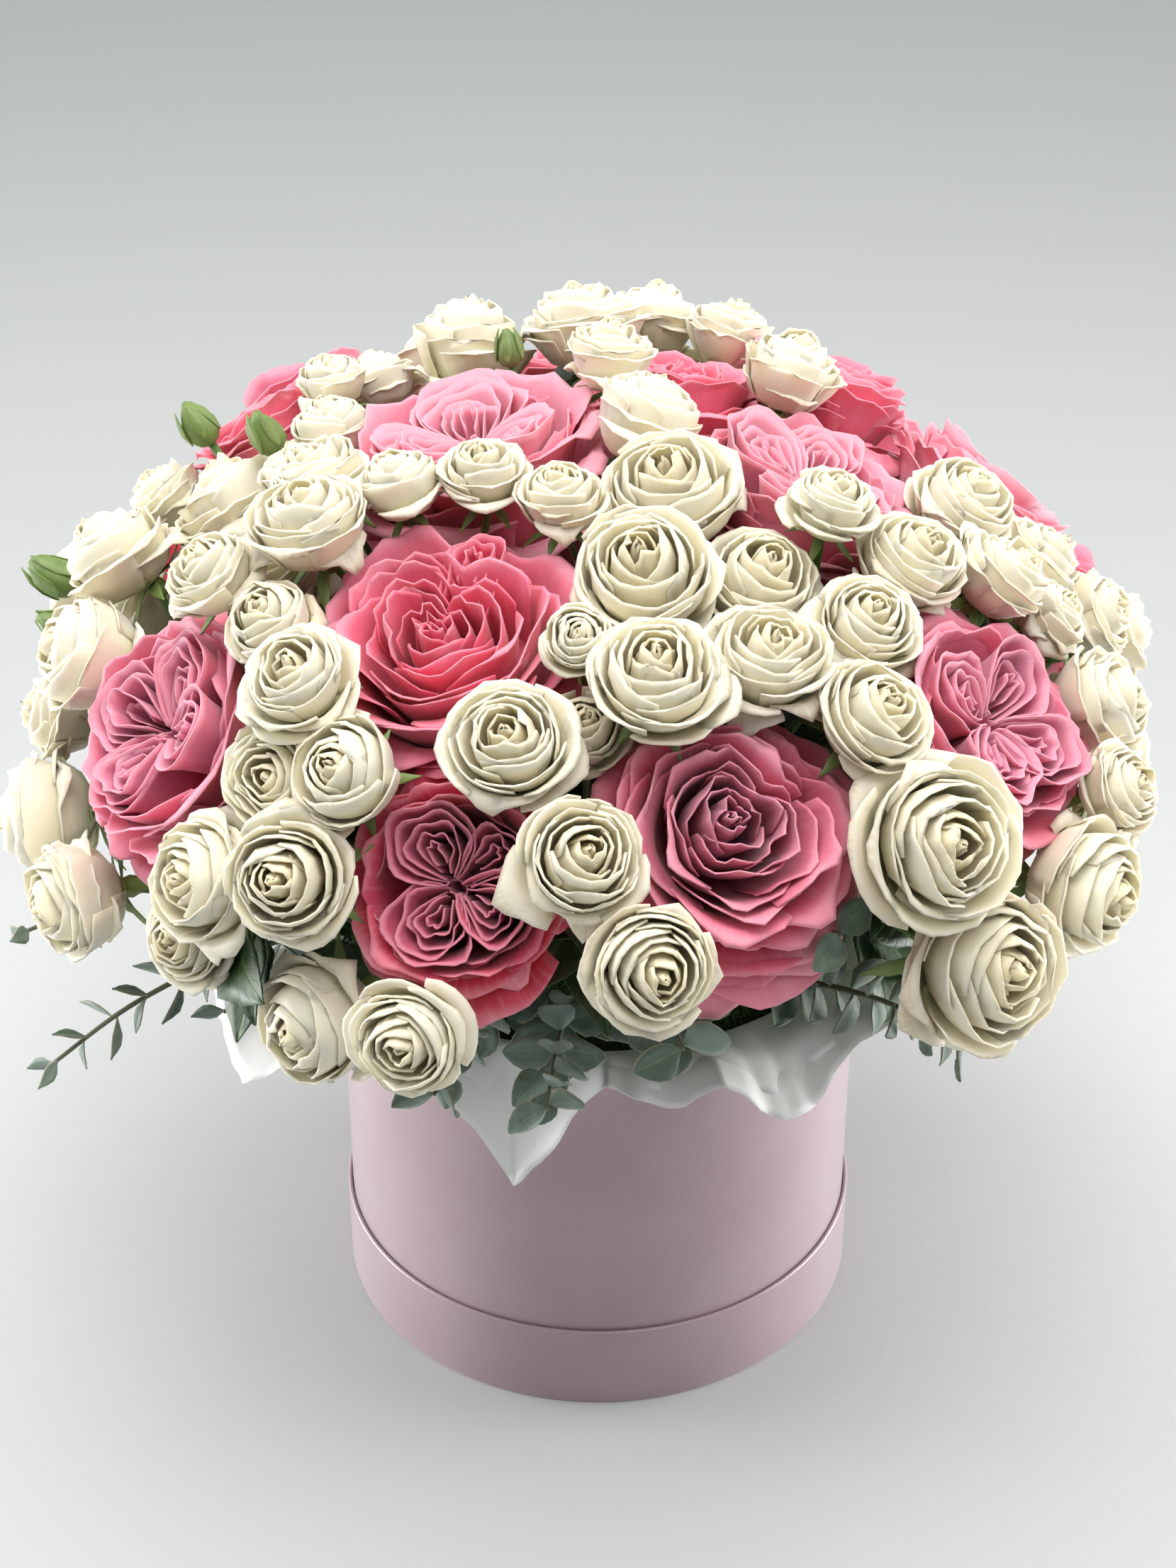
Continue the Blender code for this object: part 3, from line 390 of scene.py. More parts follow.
def bend(start, start_way, end, end_way, count):
    """Points along a smooth curve between two points with given directions."""
    third = np.linalg.norm(end - start) / 3.0
    a = start + start_way * third
    b = end - end_way * third
    t = np.linspace(0.0, 1.0, count + 1)[:, None]
    return (1 - t) ** 3 * start + 3 * (1 - t) ** 2 * t * a + 3 * (1 - t) * t ** 2 * b + t ** 3 * end


def place_on(path, share):
    """Point and direction at a share of the way along a bent stem's straight lengths."""
    at = min(share * (len(path) - 1), len(path) - 1.001)
    index = int(at)
    step = path[index + 1] - path[index]
    return path[index] + step * (at - index), unit(step)


def flower_route(name, heads):
    """Stem and branches of one rose or spray: the head nearest the middle ends the main stem."""
    middle = np.mean([head[1] for head in heads], axis=0)
    order = sorted(heads, key=lambda head: np.linalg.norm(head[1] - middle))
    _, centre, axis, r = order[0]
    foot = centre - axis * FOOT * r
    way = stem_direction(foot)
    leave = foam_exit(way)
    inner = STEM_HUB + way * (leave - STEM_DEPTH)
    outer = STEM_HUB + way * (leave + STEM_STRAIGHT)
    run = bend(outer, way, foot, axis, 3)
    arms = []
    for index, (_, centre, axis, r) in enumerate(order[1:]):
        root, along = place_on(run, FIRST_BRANCH + BRANCH_STEP * index)
        foot = centre - axis * FOOT * r
        begin = unit(unit(foot - root) + BRANCH_LEAN * along)
        arms.append((begin, bend(root, begin, foot, axis, 2)))
    thick = ROSE_STEM if name in PINK_ROSES else SPRAY_STEM
    return {"name": name, "heads": order, "way": way, "inner": inner, "run": run, "arms": arms,
            "thick": thick, "leaves": []}


def sprig_route(start_azimuth, tip_azimuth, reach, height):
    """Course of a eucalyptus stem: straight out of the foam, then bent over to its tip."""
    tip = heading(tip_azimuth, 0.0) * reach / 1000.0 + np.array([0.0, 0.0, height / 1000.0])
    way = heading(start_azimuth, LOWEST_STEM_ANGLE + 1.0)
    leave = foam_exit(way)
    inner = STEM_HUB + way * (leave - STEM_DEPTH)
    outer = STEM_HUB + way * (leave + SPRIG_STRAIGHT)
    droop = unit(unit(tip - outer) + np.array([0.0, 0.0, -SPRIG_DROOP]))
    return way, inner, bend(outer, way, tip, droop, 4)


def leaf_points(root, way, flat, length, width):
    """Points spread over a leaf, to see whether it has room."""
    side = np.cross(flat, way)
    along = np.repeat(np.linspace(0.2, 1.0, 7), 5)[:, None] * length
    across = np.tile(np.linspace(-0.5, 0.5, 5), 7)[:, None] * width
    return root + way * along + side * across - flat * 0.10 * along * along / length


def clearance(points, starts, ends, radii):
    """Least distance between points and the stems that run from starts to ends."""
    step = ends - starts
    rel = points[:, None, :] - starts[None, :, :]
    share = np.clip((rel * step).sum(axis=2) / (step * step).sum(axis=1), 0.0, 1.0)
    gap = np.linalg.norm(rel - share[:, :, None] * step[None, :, :], axis=2) - radii
    return gap.min()


def add_leaves(routes, sprig_runs, centres, radii):
    """Find the leaf that each low stem's solid carries, by the tries that placed it there."""
    lines = []
    for route in routes:
        lines.append((route["name"], route["run"], route["thick"]))
        lines += [(route["name"], arm, BRANCH_STEM) for _, arm in route["arms"]]
    lines += [("sprig", run, reach) for run, reach in sprig_runs]
    stems = [(name, here, there, thick) for name, line, thick in lines for here, there in zip(line, line[1:])]
    placed = []
    for route in routes:
        if route["way"][2] > LEAF_STEM_BELOW:
            continue
        others = [stem for stem in stems if stem[0] != route["name"]]
        starts = np.array([stem[1] for stem in others])
        ends = np.array([stem[2] for stem in others])
        thick = np.array([stem[3] for stem in others])
        for share, length, turn in LEAF_TRIES:
            root, along = place_on(route["run"], share)
            u, v = side_axes(along)
            spin = math.radians(turn)
            way = unit(math.cos(spin) * u + math.sin(spin) * v + LEAF_LEAN * along)
            flat = unit(along - way * np.dot(along, way))
            width = LEAF_WIDTH_SHARE * length
            points = leaf_points(root, way, flat, length, width)
            reach = np.linalg.norm(points - STEM_HUB, axis=1)
            in_foam = any(foam_exit(unit(q - STEM_HUB)) + LEAF_FOAM_ROOM > d for q, d in zip(points, reach))
            low = (points[:, 2] < LEAF_LOWEST_Z).any()
            near_head = (np.linalg.norm(points[:, None, :] - centres[None, :, :], axis=2)
                         - radii[None, :]).min() < LEAF_ROOM
            near_leaf = any(np.linalg.norm(points[:, None, :] - other[None, :, :], axis=2).min()
                            < 2.2 * LEAF_ROOM for other in placed)
            if in_foam or low or near_head or near_leaf:
                continue
            if clearance(points, starts, ends, thick) < LEAF_ROOM:
                continue
            placed.append(points)
            route["leaves"].append((root, way, flat, length, width))
            break


LAYOUT = {}


def layout():
    """Flowers, stems and sprigs in their places, worked out once."""
    if not LAYOUT:
        flowers = flower_list()
        centres, radii = spread(flowers)
        routes = all_routes(flowers, centres, radii)
        sprigs = {}
        for name, (bearing, tip_bearing, reach, height, pairs, length, width) in SPRIGS.items():
            way, inner, run = sprig_route(bearing, tip_bearing, reach, height)
            sprigs[name] = (way, inner, run, pairs, length / 1000.0, width / 1000.0)
        runs = [(course[2], course[4] * 0.8) for course in sprigs.values()]
        add_leaves(routes, runs, centres, radii)
        LAYOUT.update(routes=routes, sprigs=sprigs, centres=centres, radii=radii)
    return LAYOUT


# surfaces

class Sheaf:
    """Points, faces and surface notes of one piece, gathered before its mesh is made."""

    def __init__(self):
        self.points = []
        self.notes = []
        self.faces = []
        self.count = 0

    def add(self, points, faces, notes):
        """Take in points with their faces, counted from this batch's first point, and four notes a point."""
        self.points.append(points)
        self.notes.append(notes)
        self.faces.extend((faces + self.count).tolist() if isinstance(faces, np.ndarray)
                          else [[corner + self.count for corner in face] for face in faces])
        self.count += len(points)

    def sheet(self, surface, notes, thick):
        """Thin closed body: the surface moved half its thickness each way along its normals and joined round
        its edge."""
        rows, columns = surface.shape[:2]
        normal = np.cross(np.gradient(surface, axis=1), np.gradient(surface, axis=0))
        normal /= np.maximum(np.linalg.norm(normal, axis=2), 1e-12)[:, :, None]
        upper = (surface + normal * thick * 0.5).reshape(-1, 3)
        lower = (surface - normal * thick * 0.5).reshape(-1, 3)
        index = np.arange(rows * columns).reshape(rows, columns)
        front = np.stack([index[:-1, :-1], index[:-1, 1:], index[1:, 1:], index[1:, :-1]], axis=-1).reshape(-1, 4)
        back = front[:, ::-1] + rows * columns
        edge = np.concatenate([index[0, :-1], index[:-1, -1], index[-1, :0:-1], index[:0:-1, 0]])
        after = np.roll(edge, -1)
        rim = np.stack([edge, edge + rows * columns, after + rows * columns, after], axis=-1)
        flat_notes = notes.reshape(-1, 4)
        self.add(np.vstack([upper, lower]), np.vstack([front, back, rim]), np.vstack([flat_notes, flat_notes]))

    def tube(self, path, radii, sides, note):
        """Round bar: at each path point a ring of radius times cosine and sine across the path, closed at
        both ends."""
        way = np.gradient(path, axis=0)
        way /= np.linalg.norm(way, axis=1)[:, None]
        u = side_axes(way[0])[0]
        firsts = []
        for direction in way:
            u = unit(u - direction * np.dot(u, direction))
            firsts.append(u)
        firsts = np.array(firsts)
        seconds = np.cross(way, firsts)
        turn = np.arange(sides) * (2.0 * math.pi / sides)
        rings = (path[:, None, :] + np.asarray(radii)[:, None, None]
                 * (np.cos(turn)[None, :, None] * firsts[:, None, :]
                    + np.sin(turn)[None, :, None] * seconds[:, None, :]))
        self.rings(rings, note)

    def rings(self, rings, note):
        """Band of faces through rings of equal count, each end closed onto its middle point."""
        count, sides = rings.shape[:2]
        index = np.arange(count * sides).reshape(count, sides)
        after = np.roll(index, -1, axis=1)
        band = np.stack([index[:-1], after[:-1], after[1:], index[1:]], axis=-1).reshape(-1, 4)
        ends = count * sides
        first = np.stack([after[0], index[0], np.full(sides, ends)], axis=-1)
        last = np.stack([index[-1], after[-1], np.full(sides, ends + 1)], axis=-1)
        points = np.vstack([rings.reshape(-1, 3), rings[0].mean(axis=0), rings[-1].mean(axis=0)])
        along = np.concatenate([np.repeat(np.linspace(0.0, 1.0, count), sides), [0.0, 1.0]])
        notes = np.tile(np.asarray(note, dtype=float), (len(points), 1))
        notes[:, 1] = along
        self.add(points, band.tolist() + first.tolist() + last.tolist(), notes)

    def build(self, name, finish, smooth=True):
        """Make the object, its surface notes in the attribute called petal."""
        mesh = bpy.data.meshes.new(name)
        mesh.from_pydata(np.vstack(self.points).tolist(), [], self.faces)
        store = mesh.attributes.new("petal", "FLOAT_COLOR", "POINT")
        store.data.foreach_set("color", np.vstack(self.notes).astype(np.float32).ravel())
        mesh.polygons.foreach_set("use_smooth", np.full(len(mesh.polygons), smooth))
        mesh.materials.append(finish)
        mesh.update()
        piece = bpy.data.objects.new(name, mesh)
        bpy.context.scene.collection.objects.link(piece)
        return piece


def finer(centre, near, rear):
    """Grids of the petals: the first pair for heads before the middle of the bouquet, the second behind it."""
    return near if centre[1] < DETAIL_Y else rear


def plane_of(rows, columns, tighten=1.7):
    """Shares along, from 0 to 1 and closer together toward the tip, and across, from -1 to 1."""
    steps = 1.0 - (1.0 - np.linspace(0.0, 1.0, rows)) ** tighten
    return np.meshgrid(steps, np.linspace(-1.0, 1.0, columns), indexing="ij")


def notes_for(along, across, layer, shade):
    """Four notes a point: share across, share along, layer from outside to middle, and a shade."""
    return np.stack([across * 0.5 + 0.5, along, np.full_like(along, layer), np.full_like(along, shade)], axis=-1)


def local(axes, centre, r, x, y, z):
    """Points from shares of a head's radius along its two sides and its axis."""
    u, v, axis = axes
    return centre + r * (x[..., None] * u + y[..., None] * v + z[..., None] * axis)


def cup_petal(sheaf, axes, centre, r, turn, ring, layer, tone, chance, form, thick, size):
    """Petal of a cup. Its middle line is a cubic from the hip out to the belly and in to the tip. The last
    third rolls out and droops with the square of the share past it, more at the corners. Across, it sweeps
    round the axis, one side standing a little farther out than the other. Its edge waves and comes to a
    point, and toward a notch it stands in by a bell curve of the angle from it."""
    _, half, belly, tip, top, roll, droop = ring
    ruffle, notches, drift = form
    loose = 1.0 + 2.2 * max(0.0, 1.0 - 4.0 * layer)
    along, across = plane_of(*size)
    corner = 0.09 + 0.07 * chance.random()
    point = (0.08 + 0.05 * loose) * chance.random() * np.exp(-((across - 0.8 * (chance.random() - 0.5)) / 0.30) ** 2)
    t = along * (1.0 - corner * np.abs(across) ** 3 - 0.05 * np.abs(across) + point)
    half = math.radians(half) * (1.0 + 0.12 * np.clip(chance.normal(), -1.5, 1.5))
    grow = 1.0 + 0.045 * loose * np.clip(chance.normal(), -1.5, 0.9)
    top = top + 0.05 * loose * np.clip(chance.normal(), -1.6, 1.6)
    out = ((1 - t) ** 3 * 0.09 + 3 * (1 - t) ** 2 * t * belly * 0.92 + 3 * (1 - t) * t ** 2 * belly * 1.10
           + t ** 3 * tip) * grow
    up = (1 - t) ** 3 * -0.84 - 3 * (1 - t) ** 2 * t * 0.80 + 3 * (1 - t) * t ** 2 * (top - 0.20) + t ** 3 * top
    lip = np.clip((t - 0.62) / 0.38, 0.0, None) ** 2
    pinch = chance.random()
    fold = 0.55 + 0.55 * pinch + (0.80 - 0.7 * pinch) * across ** 2
    lively = 0.5 + 1.1 * chance.random()
    wave = np.sin(across * (3.0 + 2.2 * chance.random()) + 6.3 * chance.random())
    ripple = np.sin(across * (8.0 + 4.0 * chance.random()) + 6.3 * chance.random())
    out = out + lip * roll * fold * lively + ruffle * t ** 4 * (wave + 0.45 * ripple) + 0.05 * across * belly * t
    up = up - lip * droop * fold * lively + 0.8 * ruffle * t ** 4 * ripple
    angle = turn + across * half * np.sin(np.minimum(1.0, 0.34 + 1.15 * t) * math.pi / 2)
    for way, depth in notches:
        gap = (angle - way + math.pi) % (2.0 * math.pi) - math.pi
        out = out * (1.0 - depth * min(1.0, 1.6 * layer) * np.exp(-(gap / 0.50) ** 2))
    x = out * np.cos(angle) + drift[0] * layer
    y = out * np.sin(angle) + drift[1] * layer
    shade = 0.7 * tone + 0.3 * chance.random()
    sheaf.sheet(local(axes, centre, r, x, y, up), notes_for(t, across, layer, shade), thick)


def ring_petals(sheaf, axes, centre, r, rings, layers, start, chance, form, thick, sizes):
    """Rings of cup petals, each ring turned half a petal from the one outside it; now and then the outermost
    ring misses a petal."""
    turn = start
    tone = chance.random()
    for number, (ring, layer) in enumerate(zip(rings, layers)):
        count = ring[0]
        for index in range(count):
            at = turn + index * 2.0 * math.pi / count + 0.16 * np.clip(chance.normal(), -1.5, 1.5)
            size = sizes[0] if number < 3 else sizes[1]
            if number == 0 and chance.random() < 0.18:
                continue
            cup_petal(sheaf, axes, centre, r, at, ring, layer, tone, chance, form, thick, size)
        turn += math.pi / count + 0.5


def fold_petal(sheaf, axes, centre, r, lobe, size, sector, layer, chance, thick):
    """Standing petal of a quartered rose. Seen from above it is a loop round the lobe's own middle whose two legs
    run in to the rose's axis beside those of its neighbours. Upward it leans out and rolls over at its edge,
    and it waves with the sine of the share along the loop, more the nearer the edge."""
    turn, middle, largest, foot = lobe
    along, across = plane_of(*finer(centre, (6, 25), (5, 17)), 1.4)
    phase = 6.3 * chance.random()
    angle = across * math.radians(155.0) * (0.82 + 0.20 * chance.random()) + 0.22 * chance.normal()
    lip = np.clip((along - 0.55) / 0.45, 0.0, None) ** 2
    wave = np.sin(across * 7.0 + phase) + 0.8 * np.sin(across * 14.0 - 2.0 * phase)
    reach = size * (0.64 + 0.26 * along + 0.14 * lip) + wave * along ** 2 * (0.014 + 0.050 * size)
    leg = np.clip((np.abs(across) - 0.60) / 0.40, 0.0, 1.0)
    leg = leg * leg * (3.0 - 2.0 * leg) * min(1.0, 0.25 + 1.1 * size / largest)
    foot_turn = sector * (0.15 + 0.75 * size / largest)
    ahead = (middle + reach * 1.05 * np.cos(angle)) * (1.0 - leg) + foot * math.cos(foot_turn) * leg
    side = reach * np.sin(angle) * (1.0 - leg) + np.sign(across) * foot * math.sin(foot_turn) * leg
    far = np.hypot(ahead, side)
    edge = 0.24 + 0.26 * far + 0.03 * chance.normal() + 0.014 * np.cos(across * 11.0 + phase) - 0.10 * leg
    up = -0.34 + (edge + 0.34) * along - 0.03 * lip
    x = ahead * math.cos(turn) - side * math.sin(turn)
    y = ahead * math.sin(turn) + side * math.cos(turn)
    sheaf.sheet(local(axes, centre, r, x, y, up), notes_for(along, across, layer, chance.random()), thick)


def folded_middle(sheaf, axes, centre, r, lobes, chance, thick):
    """Lobes of folded petals round an axis, the largest loop of each lobe first, over a low dark floor."""
    floor = [(0.05, -0.60), (0.40, -0.50), (0.58, -0.34), (0.50, -0.28), (0.05, -0.34)]
    sheaf.rings(lathe(axes, centre, r, floor, 16), (0.5, 0.0, 0.7, 0.5))
    for turn, middle, largest, foot in lobes:
        count = max(3, int(largest / 0.072))
        for index in range(count):
            size = 0.06 + (largest - 0.06) * index / (count - 1)
            fold_petal(sheaf, axes, centre, r, (turn, middle, largest, foot), size, math.pi / max(3, len(lobes)),
                       1.0 - 0.45 * index / count, chance, thick)


def lobes_of(count, start, chance):
    """Lobes of a quartered rose, unevenly turned and sized, in the form that the table of middles gives."""
    middle, largest = {3: (0.37, 0.43), 4: (0.41, 0.37)}[count]
    return [(start + (index + 0.16 * chance.normal()) * 2.0 * math.pi / count, middle,
             largest * (0.85 + 0.3 * chance.random()), 0.07) for index in range(count)]


def rose_head(sheaf, name, head, lobes, chance, thick):
    """Garden rose: a cup of wide ruffled petals round a swirl, lobes of folded petals, or both."""
    _, centre, axis, r = head
    u, v = side_axes(axis)
    axes = (u, v, axis)
    start = 6.3 * chance.random()
    drift = (0.12 * chance.normal(), 0.10 * chance.normal(), math.degrees(start), 0.30)
    swirl, known = ROSE_MIDDLES.get(name, (drift if lobes == 1 else None, []))
    folds = [(math.radians(turn), middle, largest, foot) for turn, middle, largest, foot in known]
    if not swirl and not folds:
        folds = lobes_of(lobes, start, chance)
    layers = [0.0, 0.10, 0.25, 0.40] + [0.5 + 0.5 * index / 6.0 for index in range(7)]
    sizes = finer(centre, ((8, 13), (7, 11)), ((6, 9), (6, 7)))
    if swirl:
        form = (0.040, [(math.radians(swirl[2]), swirl[3])], swirl[:2])
        ring_petals(sheaf, axes, centre, r, ROSE_CUP + ROSE_SWIRL, layers, start, chance, form, thick, sizes)
    else:
        form = (0.040, [], (0.0, 0.0))
        ring_petals(sheaf, axes, centre, r, ROSE_CUP + ROSE_EYE, [0.0, 0.1, 0.25, 0.4, 0.5, 1.0], start, chance, form,
                    thick, sizes)
    if folds:
        folded_middle(sheaf, axes, centre, r, folds, chance, thick)
    for way, tip, droop in LOOSE_PETALS.get(name, []):
        ring = (1, 44, 0.92, tip, -0.20, 0.12, droop)
        cup_petal(sheaf, axes, centre, r, math.radians(way), ring, 0.0, 0.5, chance, form, thick, (9, 15))


def bloom_head(sheaf, head, chance, thick, half_open):
    """Spray rose, open or half open, its petals spiralling into a tight middle a little off its axis."""
    _, centre, axis, r = head
    u, v = side_axes(axis)
    axis = unit(axis + 0.12 * chance.normal() * u + 0.12 * chance.normal() * v)
    axes = (*side_axes(axis), axis)
    start = 6.3 * chance.random()
    rings = HALF_BLOOM if half_open else OPEN_BLOOM
    form = (0.030, [(start, 0.30 * chance.random())], (0.10 * chance.normal(), 0.10 * chance.normal()))
    layers = [index / (len(rings) - 1) for index in range(len(rings))]
    sizes = finer(centre, ((6, 9), (5, 7)), ((5, 7), (4, 6)))
    ring_petals(sheaf, axes, centre, r, rings, layers, start, chance, form, thick, sizes)


def lathe(axes, centre, r, profile, sides, lobes=0, depth=0.0):
    """Rings of a turned body: each profile pair is distance and height, the distance swelling with the
    cosine of the lobes' count times the turn."""
    turn = np.arange(sides) * (2.0 * math.pi / sides)
    pairs = np.asarray(profile)
    out = pairs[:, 0:1] * (1.0 + depth * np.cos(lobes * turn)[None, :])
    up = np.repeat(pairs[:, 1:2], sides, axis=1)
    return local(axes, centre, r, out * np.cos(turn), out * np.sin(turn), up)


def leaf_sheet(sheaf, root, way, flat, length, width, shape, note, chance, thick, stalk=0.0):
    """Leaf: half width is its shape's curve of the share along, the blade folded up from the midrib, sagging
    with the square of the share along, and waved at its edges. A stalk takes the first share of its length."""
    layer, shade = note
    rows, columns = {"rose": (9, 5), "round": (9, 5), "long": (8, 5), "sepal": (6, 3)}[shape]
    steps = np.linspace(0.0, 1.0, rows)
    steps = steps if shape == "rose" else 0.5 - 0.5 * np.cos(math.pi * steps)
    along, across = np.meshgrid(steps, np.linspace(-1.0, 1.0, columns), indexing="ij")
    blade = np.clip((along - stalk) / (1.0 - stalk), 0.0, 1.0)
    if shape == "rose":
        outline = np.sin(math.pi * blade ** 0.80) ** 0.85 * (1.0 - 0.25 * blade) * 1.12
        saw = 1.0 + 0.05 * np.where(np.arange(rows) % 2 == 0, 1.0, -1.0)[:, None]
    elif shape == "round":
        outline = np.sin(math.pi * blade ** 0.86) ** 0.62
        saw = np.ones((rows, 1))
    else:
        outline = np.sin(math.pi * blade ** 0.9) * np.where(blade < 0.5, 1.0, 1.04)
        saw = np.ones((rows, 1))
    half = np.maximum(outline * saw * width * 0.5, 0.0004)
    side = np.cross(flat, way)
    cup = (0.10 + 0.10 * chance.random()) * width
    sag = (0.08 + 0.16 * chance.random()) * length
    wave = 0.03 * width * np.sin(along * 9.0 + 6.3 * chance.random()) * np.abs(across)
    lift = cup * across ** 2 * (half / (0.5 * width)) - sag * along ** 2 + wave
    surface = (root + way * (along * length)[..., None] + side * (across * half)[..., None]
               + flat * lift[..., None])
    sheaf.sheet(surface, notes_for(along, across, layer, shade), thick)


def sepals(sheaf, head, chance, spread_out):
    """Five pointed sepals from the hip, lying against the head or turned back from it."""
    _, centre, axis, r = head
    u, v = side_axes(axis)
    base = centre - axis * 0.84 * r
    start = 6.3 * chance.random()
    for index in range(5):
        turn = start + index * 2.0 * math.pi / 5 + 0.1 * chance.normal()
        out = math.cos(turn) * u + math.sin(turn) * v
        rise = -0.25 if spread_out else 0.05
        way = unit(out + axis * (rise + 0.22 * np.clip(chance.normal(), -1.5, 1.0)))
        flat = unit(axis - way * np.dot(axis, way))
        leaf_sheet(sheaf, base + out * 0.10 * r, way, flat, r * (0.75 + 0.3 * chance.random()), 0.24 * r, "sepal",
                   (0.5, chance.random()), chance, LEAF_THICK)


def hip(sheaf, head, shade):
    """Green swelling under a head."""
    _, centre, axis, r = head
    u, v = side_axes(axis)
    size = min(r, 0.026)
    base = centre - axis * 0.86 * r
    profile = [(0.08, -0.34), (0.15, -0.26), (0.20, -0.12), (0.17, 0.0), (0.26, 0.10)]
    sheaf.rings(lathe((u, v, axis), base, size, profile, 10), (0.5, 0.0, 0.45, shade))


def bud(sheaf, head, chance):
    """Closed bud: a pointed body ribbed by its five sepals, whose tips stand free."""
    _, centre, axis, r = head
    u, v = side_axes(axis)
    profile = [(0.12, -0.88), (0.36, -0.76), (0.56, -0.46), (0.60, -0.10), (0.50, 0.26), (0.30, 0.60),
               (0.08, 0.86)]
    sheaf.rings(lathe((u, v, axis), centre, r, profile, 20, 5, 0.06), (0.5, 0.0, 0.30, chance.random()))
    start = 6.3 * chance.random()
    for index in range(5):
        turn = start + index * 2.0 * math.pi / 5
        out = math.cos(turn) * u + math.sin(turn) * v
        way = unit(axis - (0.20 - 0.25 * chance.random()) * out)
        leaf_sheet(sheaf, centre - axis * 0.55 * r + out * 0.60 * r, way, out, (1.25 + 0.3 * chance.random()) * r,
                   0.52 * r, "sepal", (0.5, chance.random()), chance, LEAF_THICK)


def smooth_path(points, count):
    """Points along a cubic through given points, by the rule that joins each four in turn."""
    padded = np.vstack([2 * points[0] - points[1], points, 2 * points[-1] - points[-2]])
    pieces = []
    for index in range(len(points) - 1):
        a, b, c, d = padded[index:index + 4]
        t = np.linspace(0.0, 1.0, count, endpoint=False)[:, None]
        pieces.append(0.5 * (2 * b + (c - a) * t + (2 * a - 5 * b + 4 * c - d) * t ** 2
                             + (3 * b - a - 3 * c + d) * t ** 3))
    return np.vstack(pieces + [points[-1:]])


def stem_leaves(sheaf, route, chance, wanted):
    """Leaves with saw-toothed edges on a stem: the solid's own first, then more where no head is in the way."""
    space = layout()
    for root, way, flat, length, width in route["leaves"]:
        leaf_sheet(sheaf, root, way, flat, length, width, "rose", (1.0, chance.random()), chance, LEAF_THICK,
                   LEAF_STALK)
    placed = 0
    for _ in range(MORE_LEAF_TRIES):
        if placed >= wanted:
            break
        root, along = place_on(route["run"], 0.15 + 0.80 * chance.random())
        u, v = side_axes(along)
        spin = 6.3 * chance.random()
        way = unit(math.cos(spin) * u + math.sin(spin) * v + (0.2 + 0.7 * chance.random()) * along)
        flat = unit(along - way * np.dot(along, way))
        length = 0.032 + 0.030 * chance.random()
        points = leaf_points(root, way, flat, length, 0.6 * length)
        gap = np.linalg.norm(points[:, None, :] - space["centres"][None, :, :], axis=2) - HEAD_SHARE * space["radii"]
        low = (points[:, 2] < RIM_CLEAR_Z) & (np.hypot(points[:, 0], points[:, 1]) < RIM_CLEAR_RADIUS)
        if gap.min() < 0.0 or low.any():
            continue
        leaf_sheet(sheaf, root, way, flat, length, 0.6 * length, "rose", (1.0, chance.random()), chance,
                   LEAF_THICK, LEAF_STALK)
        placed += 1


# materials

class Wire:
    """Output of a node that takes part in sums: each sum adds its Math node and gives back its output."""

    def __init__(self, finish, socket):
        self.finish = finish
        self.socket = socket

    def sum(self, operation, first, second):
        return self.finish.node("ShaderNodeMath", {"operation": operation}, {0: first, 1: second})

    def __add__(self, other):
        return self.sum("ADD", self, other)

    def __radd__(self, other):
        return self.sum("ADD", other, self)

    def __sub__(self, other):
        return self.sum("SUBTRACT", self, other)

    def __rsub__(self, other):
        return self.sum("SUBTRACT", other, self)

    def __mul__(self, other):
        return self.sum("MULTIPLY", self, other)

    def __rmul__(self, other):
        return self.sum("MULTIPLY", other, self)

    def __truediv__(self, other):
        return self.sum("DIVIDE", self, other)

    def __pow__(self, other):
        return self.sum("POWER", self, other)

    def __abs__(self):
        return self.sum("ABSOLUTE", self, 0.0)

    def between(self, low, high):
        """Smooth step from 0 at low to 1 at high."""
        return self.finish.node("ShaderNodeMapRange", {"interpolation_type": "SMOOTHSTEP"},
                                {"Value": self, "From Min": low, "From Max": high})


